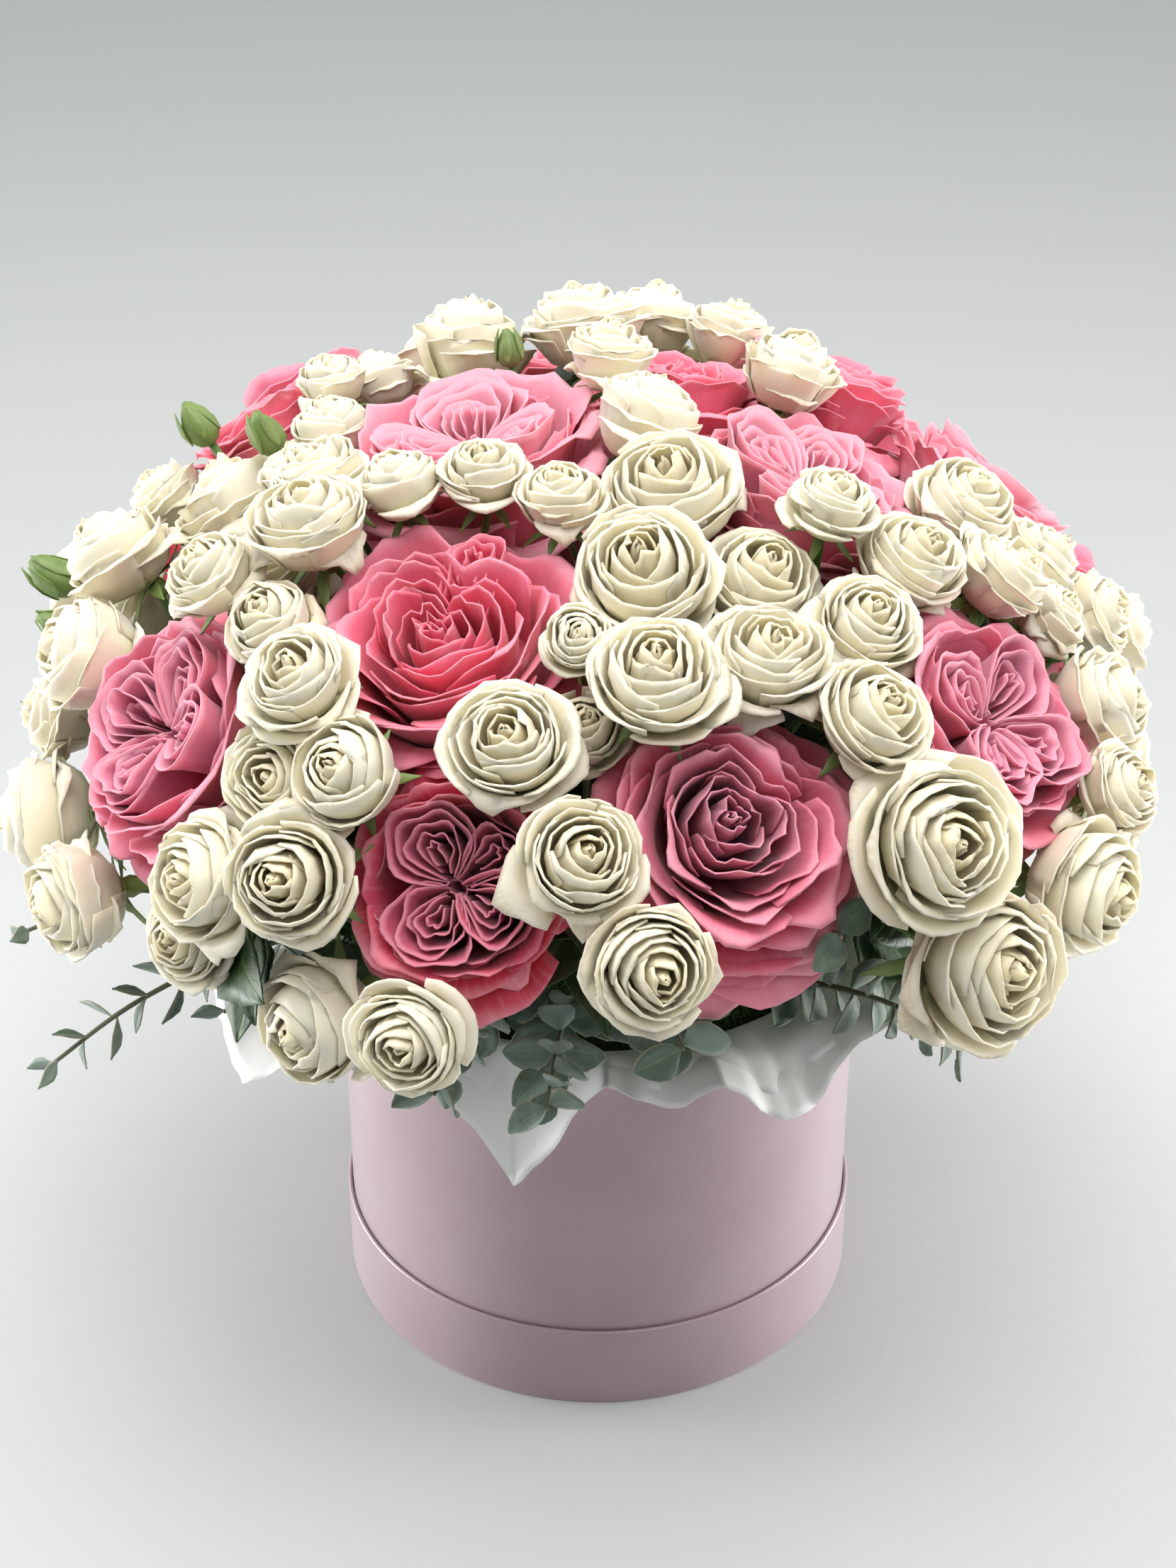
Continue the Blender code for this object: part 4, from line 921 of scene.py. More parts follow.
class Finish:
    """A procedural material with a Principled shader."""

    def __init__(self, name, **constants):
        self.made = bpy.data.materials.new(name)
        self.made.use_nodes = True
        self.nodes = self.made.node_tree.nodes
        self.links = self.made.node_tree.links
        self.shader = self.nodes["Principled BSDF"]
        for socket, value in constants.items():
            self.shader.inputs[socket.replace("_", " ")].default_value = value

    def node(self, kind, settings, values, output=0):
        """Add a node, its settings first, then the values or links of its sockets, and give its output."""
        made = self.nodes.new(kind)
        for key, value in settings.items():
            if key == "stops":
                for stop in range(len(value) - 2):
                    made.color_ramp.elements.new(0.5)
                for element, (place, colour) in zip(made.color_ramp.elements, value):
                    element.position = place
                    element.color = (*colour, 1.0)
            else:
                setattr(made, key, value)
        for key, value in values.items():
            self.feed(made.inputs[key], value)
        return Wire(self, made.outputs[output])

    def feed(self, socket, value):
        if isinstance(value, Wire):
            self.links.new(value.socket, socket)
        elif isinstance(value, tuple) and len(value) == 3 and len(socket.default_value) == 4:
            socket.default_value = (*value, 1.0)
        else:
            socket.default_value = value

    def blend(self, share, first, second):
        """Colour between two colours."""
        return self.node("ShaderNodeMix", {"data_type": "RGBA"}, {0: share, 6: first, 7: second}, 2)

    def noise(self, place, scale, detail=3.0, stretch=None):
        """Noise from 0 to 1 at a place, its scale in features a metre or a share."""
        if stretch:
            place = self.node("ShaderNodeMapping", {}, {"Vector": place, "Scale": stretch})
        return self.node("ShaderNodeTexNoise", {}, {"Vector": place, "Scale": scale, "Detail": detail})

    def own_place(self):
        return self.node("ShaderNodeTexCoord", {}, {}, "Object")

    def petal_notes(self):
        """Share across, share along, layer and shade, from the piece's own attribute."""
        note = self.node("ShaderNodeAttribute", {"attribute_name": "petal"}, {}, "Color")
        shade = Wire(self, note.socket.node.outputs["Alpha"])
        parts = self.node("ShaderNodeSeparateColor", {}, {0: note}, 0).socket.node
        return [Wire(self, parts.outputs[index]) for index in range(3)] + [shade]

    def bump(self, height, distance, strength=1.0):
        self.feed(self.shader.inputs["Normal"],
                  self.node("ShaderNodeBump", {}, {"Height": height, "Distance": distance, "Strength": strength}))

    def colour(self, wire):
        self.feed(self.shader.inputs["Base Color"], wire)

    def rough(self, wire):
        self.feed(self.shader.inputs["Roughness"], wire)


def pink_petal(name, outside, middle, edge, deep):
    """Garden rose petal: coral outside to mauve in the middle, a pale edge that is partly the petal's own and partly
    a painted highlight where the lip rolls over, a deep base, and fine veins that run up the petal."""
    made = Finish(name, Roughness=0.55, Subsurface_Weight=0.2, Subsurface_Scale=0.006,
                  Subsurface_Radius=(1.0, 0.35, 0.30), Sheen_Weight=0.25, Sheen_Roughness=0.45)
    across, along, layer, shade = made.petal_notes()
    spot = made.node("ShaderNodeCombineXYZ", {}, {0: across * 26.0, 1: along * 2.2, 2: shade * 40.0 + layer * 7.0})
    vein = made.noise(spot, 1.0, 3.0)
    cloud = made.noise(made.own_place(), 60.0, 2.0)
    body = made.blend((layer + (cloud - 0.5) * 0.5 + (shade - 0.5) * 0.3).between(0.15, 0.85), outside, middle)
    body = made.blend((1.0 - along).between(0.35, 1.0) * 0.85, body, deep)
    body = made.blend(vein.between(0.45, 0.72) * (1.0 - layer) * 0.28, body, edge)
    # pale band at the lip and sides: partly the petal's own paler edge, partly a painted highlight of the rolled lip
    # catching the light
    rim = along.between(0.86, 0.99) + abs(across - 0.5).between(0.455, 0.5) * 0.5
    made.colour(made.blend(rim * 0.36, body, edge))
    made.rough(0.50 + vein * 0.16)
    made.bump(vein, 0.0004, 0.40)
    return made.made


def white_petal(name, main, warm, green, blush):
    """Spray rose petal: creamy white, warmer in the middle and toward the base of the inner petals, partly their own
    warm heart and partly painted warm shade deep between the petals, green toward the hip, a blush on some outer
    petals, and a thin tan edge here and there."""
    made = Finish(name, Roughness=0.5, Subsurface_Weight=0.35, Subsurface_Scale=0.005,
                  Subsurface_Radius=(1.0, 0.9, 0.6), Sheen_Weight=0.15, Sheen_Roughness=0.5)
    across, along, layer, shade = made.petal_notes()
    spot = made.node("ShaderNodeCombineXYZ", {}, {0: across * 22.0, 1: along * 2.0, 2: shade * 40.0 + layer * 7.0})
    vein = made.noise(spot, 1.0, 3.0)
    cloud = made.noise(made.own_place(), 55.0, 2.0)
    body = made.blend((layer + (cloud - 0.5) * 0.4).between(0.45, 1.05) * 0.75, main, warm)
    # partly painted warm shade: the base of the inner petals, deep between them, goes toward warm; partly the rose's
    # own warm heart
    body = made.blend((1.0 - along).between(0.15, 0.80) * layer.between(0.05, 0.4) * 0.7, body, warm)
    body = made.blend((1.0 - along).between(0.30, 0.95) * (1.0 - layer.between(0.1, 0.5)) * 0.65, body, green)
    patch = (cloud + (shade - 0.6)).between(0.55, 0.95) * (1.0 - layer).between(0.55, 1.0)
    body = made.blend(patch * 0.55, body, blush)
    body = made.blend((shade + cloud * 0.6).between(1.12, 1.35) * (1.0 - layer).between(0.6, 1.0) * 0.6, body, green)
    tan = along.between(0.955, 0.995) * (vein + shade * 0.3).between(0.58, 0.80)
    made.colour(made.blend(tan * 0.40, body, (0.60, 0.46, 0.26)))
    made.rough(0.46 + vein * 0.14)
    made.bump(vein, 0.0004, 0.15)
    return made.made


def rose_green(name, stem, sepal, leaf):
    """Stems, sepals and leaves of roses: leaves dark with paler ribs, the side ribs slanting to the edge."""
    made = Finish(name, Roughness=0.42)
    across, along, layer, shade = made.petal_notes()
    off = abs(across - 0.5) * 2.0
    side = made.node("ShaderNodeMath", {"operation": "SINE"}, {0: (along * 46.0 - off * 16.0)})
    rib = side.between(0.82, 1.0) * 0.5 + (1.0 - off).between(0.86, 0.98)
    cloud = made.noise(made.own_place(), 130.0, 3.0)
    leafy = layer.between(0.7, 0.9)
    body = made.blend(layer.between(0.1, 0.4), stem, sepal)
    body = made.blend(leafy, body, leaf)
    body = made.blend(cloud.between(0.35, 0.75) * 0.45, body, (0.10, 0.17, 0.03))
    body = made.blend(shade.between(0.3, 1.0) * 0.25, body, (0.05, 0.12, 0.05))
    made.colour(made.blend(rib * leafy * 0.4, body, (0.16, 0.26, 0.09)))
    made.rough(0.38 + cloud * 0.2)
    made.bump(cloud * 0.4 - rib * leafy * 0.6, 0.0006, 0.6)
    return made.made


def eucalyptus_green(name, leaf, pale, stem):
    """Eucalyptus: dusty grey green with a bloom that rubs off in patches, a fine pale rib and a light rim."""
    made = Finish(name, Roughness=0.62, Sheen_Weight=0.3, Sheen_Roughness=0.5)
    across, along, layer, shade = made.petal_notes()
    off = abs(across - 0.5) * 2.0
    cloud = made.noise(made.own_place(), 160.0, 4.0)
    body = made.blend((cloud + (shade - 0.5) * 0.6).between(0.30, 0.80), leaf, pale)
    side = made.node("ShaderNodeMath", {"operation": "SINE"}, {0: (along * 30.0 - off * 14.0)})
    rib = (1.0 - off).between(0.90, 0.99) * 0.7 + side.between(0.90, 1.0) * 0.25
    body = made.blend(rib * 0.5, body, (0.22, 0.29, 0.17))
    rim = off.between(0.93, 1.0) * (1.0 - along).between(0.0, 0.1)
    body = made.blend(rim * 0.7, body, (0.30, 0.26, 0.15))
    made.colour(made.blend(1.0 - layer.between(0.4, 0.6), body, stem))
    made.rough(0.52 + cloud * 0.22)
    made.bump(cloud * 0.5 - rib * 0.5, 0.0004, 0.5)
    return made.made


def satin_paper(name, colour, glow):
    """Pearly paper on card with a fine grain of fibres and a soft metallic sheen; in cloudy patches and along the
    fibres its colour is painted toward the paper where it catches the light, a painted sheen, and fine specks are
    painted near white as painted glints.
    """
    made = Finish(name, Metallic=0.30, Coat_Weight=0.30, Coat_Roughness=0.28, Sheen_Weight=1.0,
                  Sheen_Roughness=0.36, Sheen_Tint=(1.0, 0.93, 0.95, 1.0))
    place = made.own_place()
    fibre = made.noise(place, 420.0, 4.0, (1.0, 1.0, 2.6))
    cloud = made.noise(place, 16.0, 3.0)
    glint_specks = made.noise(place, 2600.0, 1.0)
    # painted sheen: cloudy patches and fibres mixed toward glow, the paper where it catches the light
    body = made.blend(cloud.between(0.30, 0.75) * 0.6, colour, glow)
    body = made.blend(fibre.between(0.35, 0.75) * 0.22, body, glow)
    # painted glints: fine specks painted near white
    made.colour(made.blend(glint_specks.between(0.62, 0.80) * 0.30, body, (0.95, 0.86, 0.86)))
    made.rough(0.30 + fibre * 0.12 + cloud * 0.05)
    made.bump(fibre * 0.7 + glint_specks * 0.3, 0.00025, 0.5)
    return made.made


def tissue_finish(name, colour):
    """Non-woven tissue: soft white fibres in clumps, so that light and what lies behind show through."""
    made = Finish(name, Roughness=0.72, Sheen_Weight=0.2, Sheen_Roughness=0.6, Subsurface_Weight=0.1,
                  Subsurface_Scale=0.002)
    place = made.own_place()
    fibre = made.noise(place, 900.0, 4.0, (1.0, 1.0, 0.35))
    cross = made.noise(place, 850.0, 4.0, (0.4, 0.5, 1.6))
    clump = made.noise(place, 110.0, 3.0)
    crease = made.node("ShaderNodeTexVoronoi", {"feature": "DISTANCE_TO_EDGE"}, {"Vector": place, "Scale": 34.0})
    body = made.blend(clump.between(0.3, 0.7) * 0.5, colour, (0.78, 0.76, 0.72))
    made.colour(made.blend((fibre * 0.5 + cross * 0.5).between(0.45, 0.62) * 0.5, body, (0.93, 0.93, 0.91)))
    made.feed(made.shader.inputs["Alpha"],
              0.80 + (fibre + cross - 1.0) * 0.50 + (clump - 0.5) * 0.35)
    made.bump(fibre * 0.25 + cross * 0.25 + (1.0 - crease.between(0.0, 0.10)) * 0.25 + clump * 0.5, 0.0012, 0.8)
    return made.made


def foam_finish(name, wet, dry):
    """Floral foam: dark green, pitted, with paler crumbs."""
    made = Finish(name, Roughness=0.95)
    place = made.own_place()
    pits = made.node("ShaderNodeTexVoronoi", {}, {"Vector": place, "Scale": 500.0})
    cloud = made.noise(place, 40.0, 4.0)
    made.colour(made.blend((pits + cloud * 0.6).between(0.4, 1.0), wet, dry))
    made.bump(pits + cloud * 0.5, 0.0015, 1.0)
    return made.made


def film_finish(name, colour):
    """Clear waterproof film with faint cloudy creases."""
    made = Finish(name, Roughness=0.15, IOR=1.45)
    crease = made.noise(made.own_place(), 70.0, 4.0)
    made.colour(made.blend(crease.between(0.4, 0.7) * 0.5, colour, (0.93, 0.95, 0.94)))
    made.feed(made.shader.inputs["Alpha"], 0.22 + crease.between(0.45, 0.70) * 0.25)
    made.bump(crease, 0.002, 0.6)
    return made.made


def floor_finish(name, near, far):
    """Pale matt sweep whose colour is painted darker with distance from the middle, a painted shade for the light
    falling off, with the faintest mottle.
    """
    made = Finish(name, Roughness=0.6)
    place = made.own_place()
    reach = made.node("ShaderNodeVectorMath", {"operation": "LENGTH"}, {0: place}, "Value")
    mottle = made.noise(place, 3.0, 4.0)
    # painted shade: the colour goes from near to far, darker away from the box, as the light falls off
    made.colour(made.blend((reach + (mottle - 0.5) * 0.25).between(0.5, 2.6), near, far))
    made.bump(made.noise(place, 300.0, 3.0), 0.0003, 0.3)
    return made.made


class Sky(Finish):
    """The light from all round, a world whose strength changes with direction."""

    def __init__(self, name):
        self.made = bpy.data.worlds.new(name)
        self.made.use_nodes = True
        self.nodes = self.made.node_tree.nodes
        self.links = self.made.node_tree.links
        self.shader = self.nodes["Background"]


def even_light(name, strength):
    """Bright all round and above, and dim low in front, where the satin paper mirrors it as its dark middle."""
    sky = Sky(name)
    way = sky.node("ShaderNodeTexCoord", {}, {}, "Generated")
    parts = sky.node("ShaderNodeSeparateXYZ", {}, {0: way}, 0).socket.node
    ahead, height = Wire(sky, parts.outputs[1]), Wire(sky, parts.outputs[2])
    dim = (0.0 - ahead).between(0.05, 0.65) * (1.0 - height.between(0.30, 0.75))
    sky.feed(sky.shader.inputs["Strength"], (1.0 - dim * 0.93) * strength)
    sky.shader.inputs["Color"].default_value = (0.97, 0.985, 1.0, 1.0)
    return sky.made


# settings that a user would change

def colour_of(label, note, value):
    return bpy.props.FloatVectorProperty(name=label, description=note, subtype="COLOR", size=3, min=0.0, max=1.0,
                                         default=value)


def length_of(label, note, value):
    return bpy.props.FloatProperty(name=label, description=note, subtype="DISTANCE", unit="LENGTH", min=0.0,
                                   default=value, precision=5)


def number_of(label, note, value):
    return bpy.props.FloatProperty(name=label, description=note, default=value)


class BoxSettings(bpy.types.PropertyGroup):
    """Sizes and colours of the box and its lid."""
    card: length_of("Card", "Thickness of the card", CARD)
    edge: length_of("Edge", "Radius that the paper makes where it turns over an edge", 0.0008)
    sides: bpy.props.IntProperty(name="Sides", description="Points round the box", min=48, default=160)
    # paper is the paper in shade and glow the paper where it catches the light; mixed in patches they paint a sheen
    paper: colour_of("Paper", "Pearly paper in the shade", (0.35, 0.247, 0.280))
    glow: colour_of("Glow", "Pearly paper where it catches the light", (0.41, 0.308, 0.338))


class RoseSettings(bpy.types.PropertyGroup):
    """Colours and petal thickness of the garden roses."""
    thick: length_of("Petal", "Thickness of a petal", 0.0006)
    coral: colour_of("Coral", "Outer petals of the coral roses", (0.90, 0.215, 0.320))
    crimson: colour_of("Crimson", "Outer petals of the deepest rose", (0.70, 0.055, 0.120))
    mauve: colour_of("Mauve", "Middle petals of the mauve roses", (0.62, 0.210, 0.310))
    light: colour_of("Light", "Outer petals of the lightest roses", (0.86, 0.270, 0.365))
    # edge: partly the petals' own pale edge, partly a painted highlight on the rolled lips
    edge: colour_of("Edge", "Pale edge of a petal", (0.90, 0.42, 0.50))
    deep: colour_of("Deep", "Base of a petal", (0.56, 0.030, 0.090))


class SpraySettings(bpy.types.PropertyGroup):
    """Colours and petal thickness of the spray roses."""
    thick: length_of("Petal", "Thickness of a petal", 0.0008)
    white: colour_of("White", "Petals", (0.83, 0.772, 0.600))
    # warm also paints the base of the inner petals, partly their own colour and partly painted warm shade between
    # them
    warm: colour_of("Warm", "Petals in the middle", (0.82, 0.705, 0.430))
    green: colour_of("Green", "Petals toward the hip", (0.62, 0.66, 0.30))
    blush: colour_of("Blush", "Blush on outer petals", (0.88, 0.62, 0.54))


class LeafSettings(bpy.types.PropertyGroup):
    """Colours of the greenery, and how many leaves a rose stem carries."""
    leaves: bpy.props.IntProperty(name="Leaves", description="Leaves on a rose stem", min=0, default=11)
    stem: colour_of("Stem", "Rose stems", (0.10, 0.20, 0.045))
    sepal: colour_of("Sepal", "Sepals and buds", (0.21, 0.29, 0.085))
    leaf: colour_of("Leaf", "Rose leaves", (0.018, 0.060, 0.022))
    dusty: colour_of("Dusty", "Eucalyptus leaves", (0.075, 0.125, 0.085))
    pale: colour_of("Pale", "Bloom on eucalyptus leaves", (0.165, 0.235, 0.190))


class TissueSettings(bpy.types.PropertyGroup):
    """Colour, thickness and folds of the tissue."""
    thick: length_of("Tissue", "Thickness of the tissue", 0.0004)
    fold: length_of("Fold", "Height of the folds at the edge", 0.0042)
    columns: bpy.props.IntProperty(name="Columns", description="Points round the rim", min=90, default=360)
    colour: colour_of("Colour", "White of the tissue", (0.88, 0.845, 0.800))


class StageSettings(bpy.types.PropertyGroup):
    """Floor, lights and camera."""
    # near and far colours of the floor: far is darker, a painted shade of the light falling off with distance
    near: colour_of("Near", "Floor by the box", (0.46, 0.473, 0.473))
    far: colour_of("Far", "Floor far from the box", (0.39, 0.408, 0.402))
    lens: number_of("Lens", "Focal length in millimetres", 61.84)
    pitch: bpy.props.FloatProperty(name="Pitch", description="Tilt of the camera below level", subtype="ANGLE",
                                   default=math.radians(31.67))
    top_light: number_of("Top light", "Power of the light above", 35.0)
    side_light: number_of("Side lights", "Power of each side light", 14.0)
    low_light: number_of("Low lights", "Power of each light beside the box", 1.3)
    front_light: number_of("Front light", "Power of the light above the camera", 5.0)
    sky: number_of("Sky", "Strength of the even light", 0.96)


SETTINGS = {
    "hat_box_card": BoxSettings,
    "hat_box_roses": RoseSettings,
    "hat_box_sprays": SpraySettings,
    "hat_box_leaves": LeafSettings,
    "hat_box_tissue": TissueSettings,
    "hat_box_stage": StageSettings,
}


def settle(piece, slot, *nodes):
    """Let a piece ride with the box and hide the frame's nodes that it stands for; the slot is not used."""
    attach(piece, "root")
    if nodes:
        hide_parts(*nodes)
    return piece


def shared(name, make, *values):
    """A material made once and then used again."""
    return bpy.data.materials.get(name) or make(name, *[tuple(value) for value in values])


# pieces

def rounded_cup(radius, wall, floor_z, rim_z, edge):
    """Section of an open tub from the middle of its underside out, up, over the rolled rim and back to the
    middle of its floor, each outer corner a quarter circle."""
    steps = np.linspace(0.0, math.pi / 2, 5)
    foot = [(radius - edge + edge * math.sin(a), floor_z + edge - edge * math.cos(a)) for a in steps]
    half = wall / 2.0
    rim = [(radius - half + half * math.cos(a), rim_z - half + half * math.sin(a))
           for a in np.linspace(0.0, math.pi, 9)]
    inner = [(radius - wall, floor_z + wall + edge), (radius - wall - edge * 0.3, floor_z + wall + edge * 0.3),
             (radius - wall - edge, floor_z + wall)]
    side = [(radius, floor_z + edge + (rim_z - half - floor_z - edge) * share) for share in (0.02, 0.3, 0.6, 0.98)]
    back = [(radius - wall, rim_z - half - (rim_z - floor_z - wall - edge) * share) for share in (0.02, 0.5, 0.95)]
    return ([(0.01, floor_z), (radius * 0.6, floor_z), (radius - 3 * edge, floor_z)] + foot + side + rim + back
            + inner + [(radius - wall - 4 * edge, floor_z + wall), (radius * 0.6, floor_z + wall),
                       (0.01, floor_z + wall)])


def turned_piece(name, profile, sides, finish):
    """Turned tub, closed onto its middle top and bottom."""
    sheaf = Sheaf()
    sheaf.rings(lathe(UPRIGHT, np.zeros(3), 1.0, profile, sides), (0.5, 0.0, 0.0, 0.5))
    return sheaf.build(name, finish)


class HATBOX_OT_box(bpy.types.Operator):
    """Make the round box and the lid that it stands in, in satin paper"""
    bl_idname = "hat_box.box"
    bl_label = "Box and lid"

    def execute(self, context):
        wanted = context.scene.hat_box_card
        paper = shared("satin_paper", satin_paper, wanted.paper, wanted.glow)
        lid = turned_piece("lid_in_satin_paper", rounded_cup(LID_OUTER_RADIUS, wanted.card, 0.0, LID_HEIGHT,
                                                             wanted.edge), wanted.sides, paper)
        settle(lid, "pink_card", "box_lid")
        body = turned_piece("box_in_satin_paper", rounded_cup(BOX_OUTER_RADIUS, wanted.card, CARD + FIT, BOX_RIM_Z,
                                                              wanted.edge), wanted.sides, paper)
        settle(body, "pink_card", "box_body")
        return {"FINISHED"}


class HATBOX_OT_filling(bpy.types.Operator):
    """Finish the floral foam and the film that holds its water"""
    bl_idname = "hat_box.filling"
    bl_label = "Foam and film"

    def execute(self, context):
        for node, finish in (("floral_foam", foam_finish("wet_foam", (0.012, 0.035, 0.010), (0.05, 0.10, 0.03))),
                             ("foam_film", film_finish("clear_film", (0.75, 0.78, 0.76)))):
            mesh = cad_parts[node].data
            mesh.materials.clear()
            mesh.materials.append(finish)
        return {"FINISHED"}


def tissue_edge(azimuth):
    """Distance and height of the tissue's edge at bearings, straight between the listed points."""
    table = np.array(TISSUE_EDGE + [(180, 160, 204)], dtype=float)
    at = np.clip(np.searchsorted(table[:, 0], azimuth, side="right") - 1, 0, len(table) - 2)
    t = (azimuth - table[at, 0]) / (table[at + 1, 0] - table[at, 0])
    return ((table[at, 1] + (table[at + 1, 1] - table[at, 1]) * t) / 1000.0,
            (table[at, 2] + (table[at + 1, 2] - table[at, 2]) * t) / 1000.0)


def pleats(bearing, count, seed):
    """Sum of angular waves round the rim, the arcsine of a cosine each, whole numbers of waves near the count."""
    chance = np.random.default_rng(seed)
    total = np.zeros_like(bearing)
    for _ in range(7):
        waves = int(count * (0.5 + chance.random()))
        wave = np.cos(np.radians(bearing) * waves + 6.3 * chance.random())
        total += np.arcsin(0.97 * wave) * (0.4 + 0.5 * chance.random())
    return total / 3.0


def tissue_collar(name, columns, fold, shrink, lift, seed, finish, thick):
    """Tissue round the rim. At each bearing its section runs up inside the wall, over the rim and out to the
    edge on a smooth curve; the folds grow with the share of the way out, and it closes on itself."""
    bearing = -180.0 + 360.0 * np.arange(columns) / columns
    reach, height = tissue_edge(bearing)
    frill = pleats(bearing, 60, seed)
    over_r = BOX_OUTER_RADIUS + 0.0015
    over_z = BOX_RIM_Z + 0.0032
    reach = over_r + (reach - over_r) * shrink + 0.0009 * frill
    height = over_z + (height - over_z) * shrink + lift + 0.0008 * pleats(bearing, 36, seed + 1)
    hang = np.clip(over_z - height, 0.0, None) / 0.07
    mid_r = over_r + (reach - over_r) * (0.55 + 0.2 * hang)
    mid_z = over_z + lift + (height - over_z - lift) * 0.45 + 0.006 * (1.0 - hang)
    inner_r = 0.1152 + 0.4 * lift * np.ones(columns)
    ones = np.ones(columns)
    section = [(inner_r, 0.152 * ones), (0.1160 * ones, 0.176 * ones), (0.1168 * ones, BOX_RIM_Z - 0.0008 + 0 * ones),
               (over_r * ones, over_z + lift * ones), (mid_r, mid_z), (reach, height)]
    knots = np.stack([np.stack(pair, axis=-1) for pair in section])
    course = smooth_path(knots.reshape(len(section), -1), 5).reshape(-1, columns, 2)
    share = np.clip((np.arange(len(course)) / (len(course) - 1) - 0.58) / 0.42, 0.0, 1.0)[:, None]
    deep = pleats(bearing, 15, seed + 2)[None, :] * (1.0 - 0.7 * hang)[None, :] + 0.25 * pleats(bearing, 44, seed + 3)
    away = fold * share * deep
    out = course[..., 0] + 0.35 * np.abs(away)
    up = course[..., 1] + away
    side = np.radians(bearing)
    surface = np.stack([out * np.sin(side), -out * np.cos(side), up], axis=-1)
    rows = len(surface)
    along = np.gradient(surface, axis=0)
    round_way = (np.roll(surface, -1, axis=1) - np.roll(surface, 1, axis=1)) / 2.0
    normal = np.cross(round_way, along)
    normal /= np.linalg.norm(normal, axis=2)[:, :, None]
    index = np.arange(rows * columns).reshape(rows, columns)
    after = np.roll(index, -1, axis=1)
    front = np.stack([index[:-1], after[:-1], after[1:], index[1:]], axis=-1).reshape(-1, 4)
    back = front[:, ::-1] + rows * columns
    low = np.stack([index[0], index[0] + rows * columns, after[0] + rows * columns, after[0]], axis=-1)
    high = np.stack([after[-1], after[-1] + rows * columns, index[-1] + rows * columns, index[-1]], axis=-1)
    sheaf = Sheaf()
    notes = np.zeros((rows * columns * 2, 4))
    sheaf.add(np.vstack([(surface + normal * thick * 0.5).reshape(-1, 3),
                         (surface - normal * thick * 0.5).reshape(-1, 3)]),
              np.vstack([front, back, low, high]), notes)
    return sheaf.build(name, finish)


class HATBOX_OT_tissue(bpy.types.Operator):
    """Tuck two layers of white tissue inside the wall and fold them out over the rim"""
    bl_idname = "hat_box.tissue"
    bl_label = "Tissue"

    def execute(self, context):
        wanted = context.scene.hat_box_tissue
        white = shared("white_tissue", tissue_finish, wanted.colour)
        outer = tissue_collar("tissue_outer_layer", wanted.columns, wanted.fold, 1.0, 0.0, 5, white, wanted.thick)
        settle(outer, "white_tissue", "tissue_paper")
        inner = tissue_collar("tissue_inner_layer", wanted.columns, wanted.fold, 0.80, 0.0022, 11, white,
                              wanted.thick)
        settle(inner, "white_tissue", "tissue_paper")
        return {"FINISHED"}


def stems_of(route, sheaf, chance):
    """Stem and branches as round bars, the stem thinner toward its head."""
    thick = route["thick"]
    path = smooth_path(np.vstack([route["inner"][None, :], route["run"]]), 4)
    taper = np.linspace(1.0, 0.8, len(path))
    sheaf.tube(path, thick * taper, 8, (0.5, 0.0, 0.0, chance.random()))
    for _, arm in route["arms"]:
        line = smooth_path(arm, 4)
        sheaf.tube(line, np.full(len(line), BRANCH_STEM), 6, (0.5, 0.0, 0.15, chance.random()))


class HATBOX_OT_roses(bpy.types.Operator):
    """Make the garden roses, each with its petals and its green stem"""
    bl_idname = "hat_box.roses"
    bl_label = "Garden roses"

    def execute(self, context):
        wanted = context.scene.hat_box_roses
        leaves = context.scene.hat_box_leaves
        green = shared("rose_green", rose_green, leaves.stem, leaves.sepal, leaves.leaf)
        edge, deep = tuple(wanted.edge), tuple(wanted.deep)
        coral, mauve = tuple(wanted.coral), tuple(wanted.mauve)
        petals = {
            "coral": shared("coral_petal", pink_petal, coral, (0.82, 0.14, 0.23), edge, deep),
            "crimson": shared("crimson_petal", pink_petal, wanted.crimson, (0.52, 0.10, 0.18), edge,
                              (0.26, 0.01, 0.045)),
            "mauve": shared("mauve_petal", pink_petal, (0.82, 0.17, 0.26), mauve, edge, deep),
            "light": shared("light_petal", pink_petal, wanted.light, (0.76, 0.29, 0.38), edge,
                            (0.60, 0.06, 0.13)),
        }
        for number, route in enumerate(layout()["routes"]):
            name = route["name"]
            if name not in PINK_ROSES:
                continue
            _, _, _, lobes, colour = PINK_ROSES[name]
            chance = np.random.default_rng(100 + number)
            bloom = Sheaf()
            rose_head(bloom, name, route["heads"][0], lobes, chance, wanted.thick)
            settle(bloom.build(name + "_petals", petals[colour]), "pink_rose", name)
            stem = Sheaf()
            stems_of(route, stem, chance)
            hip(stem, route["heads"][0], chance.random())
            sepals(stem, route["heads"][0], chance, True)
            stem_leaves(stem, route, chance, leaves.leaves)
            settle(stem.build(name + "_green", green), "greenery", name)
        return {"FINISHED"}


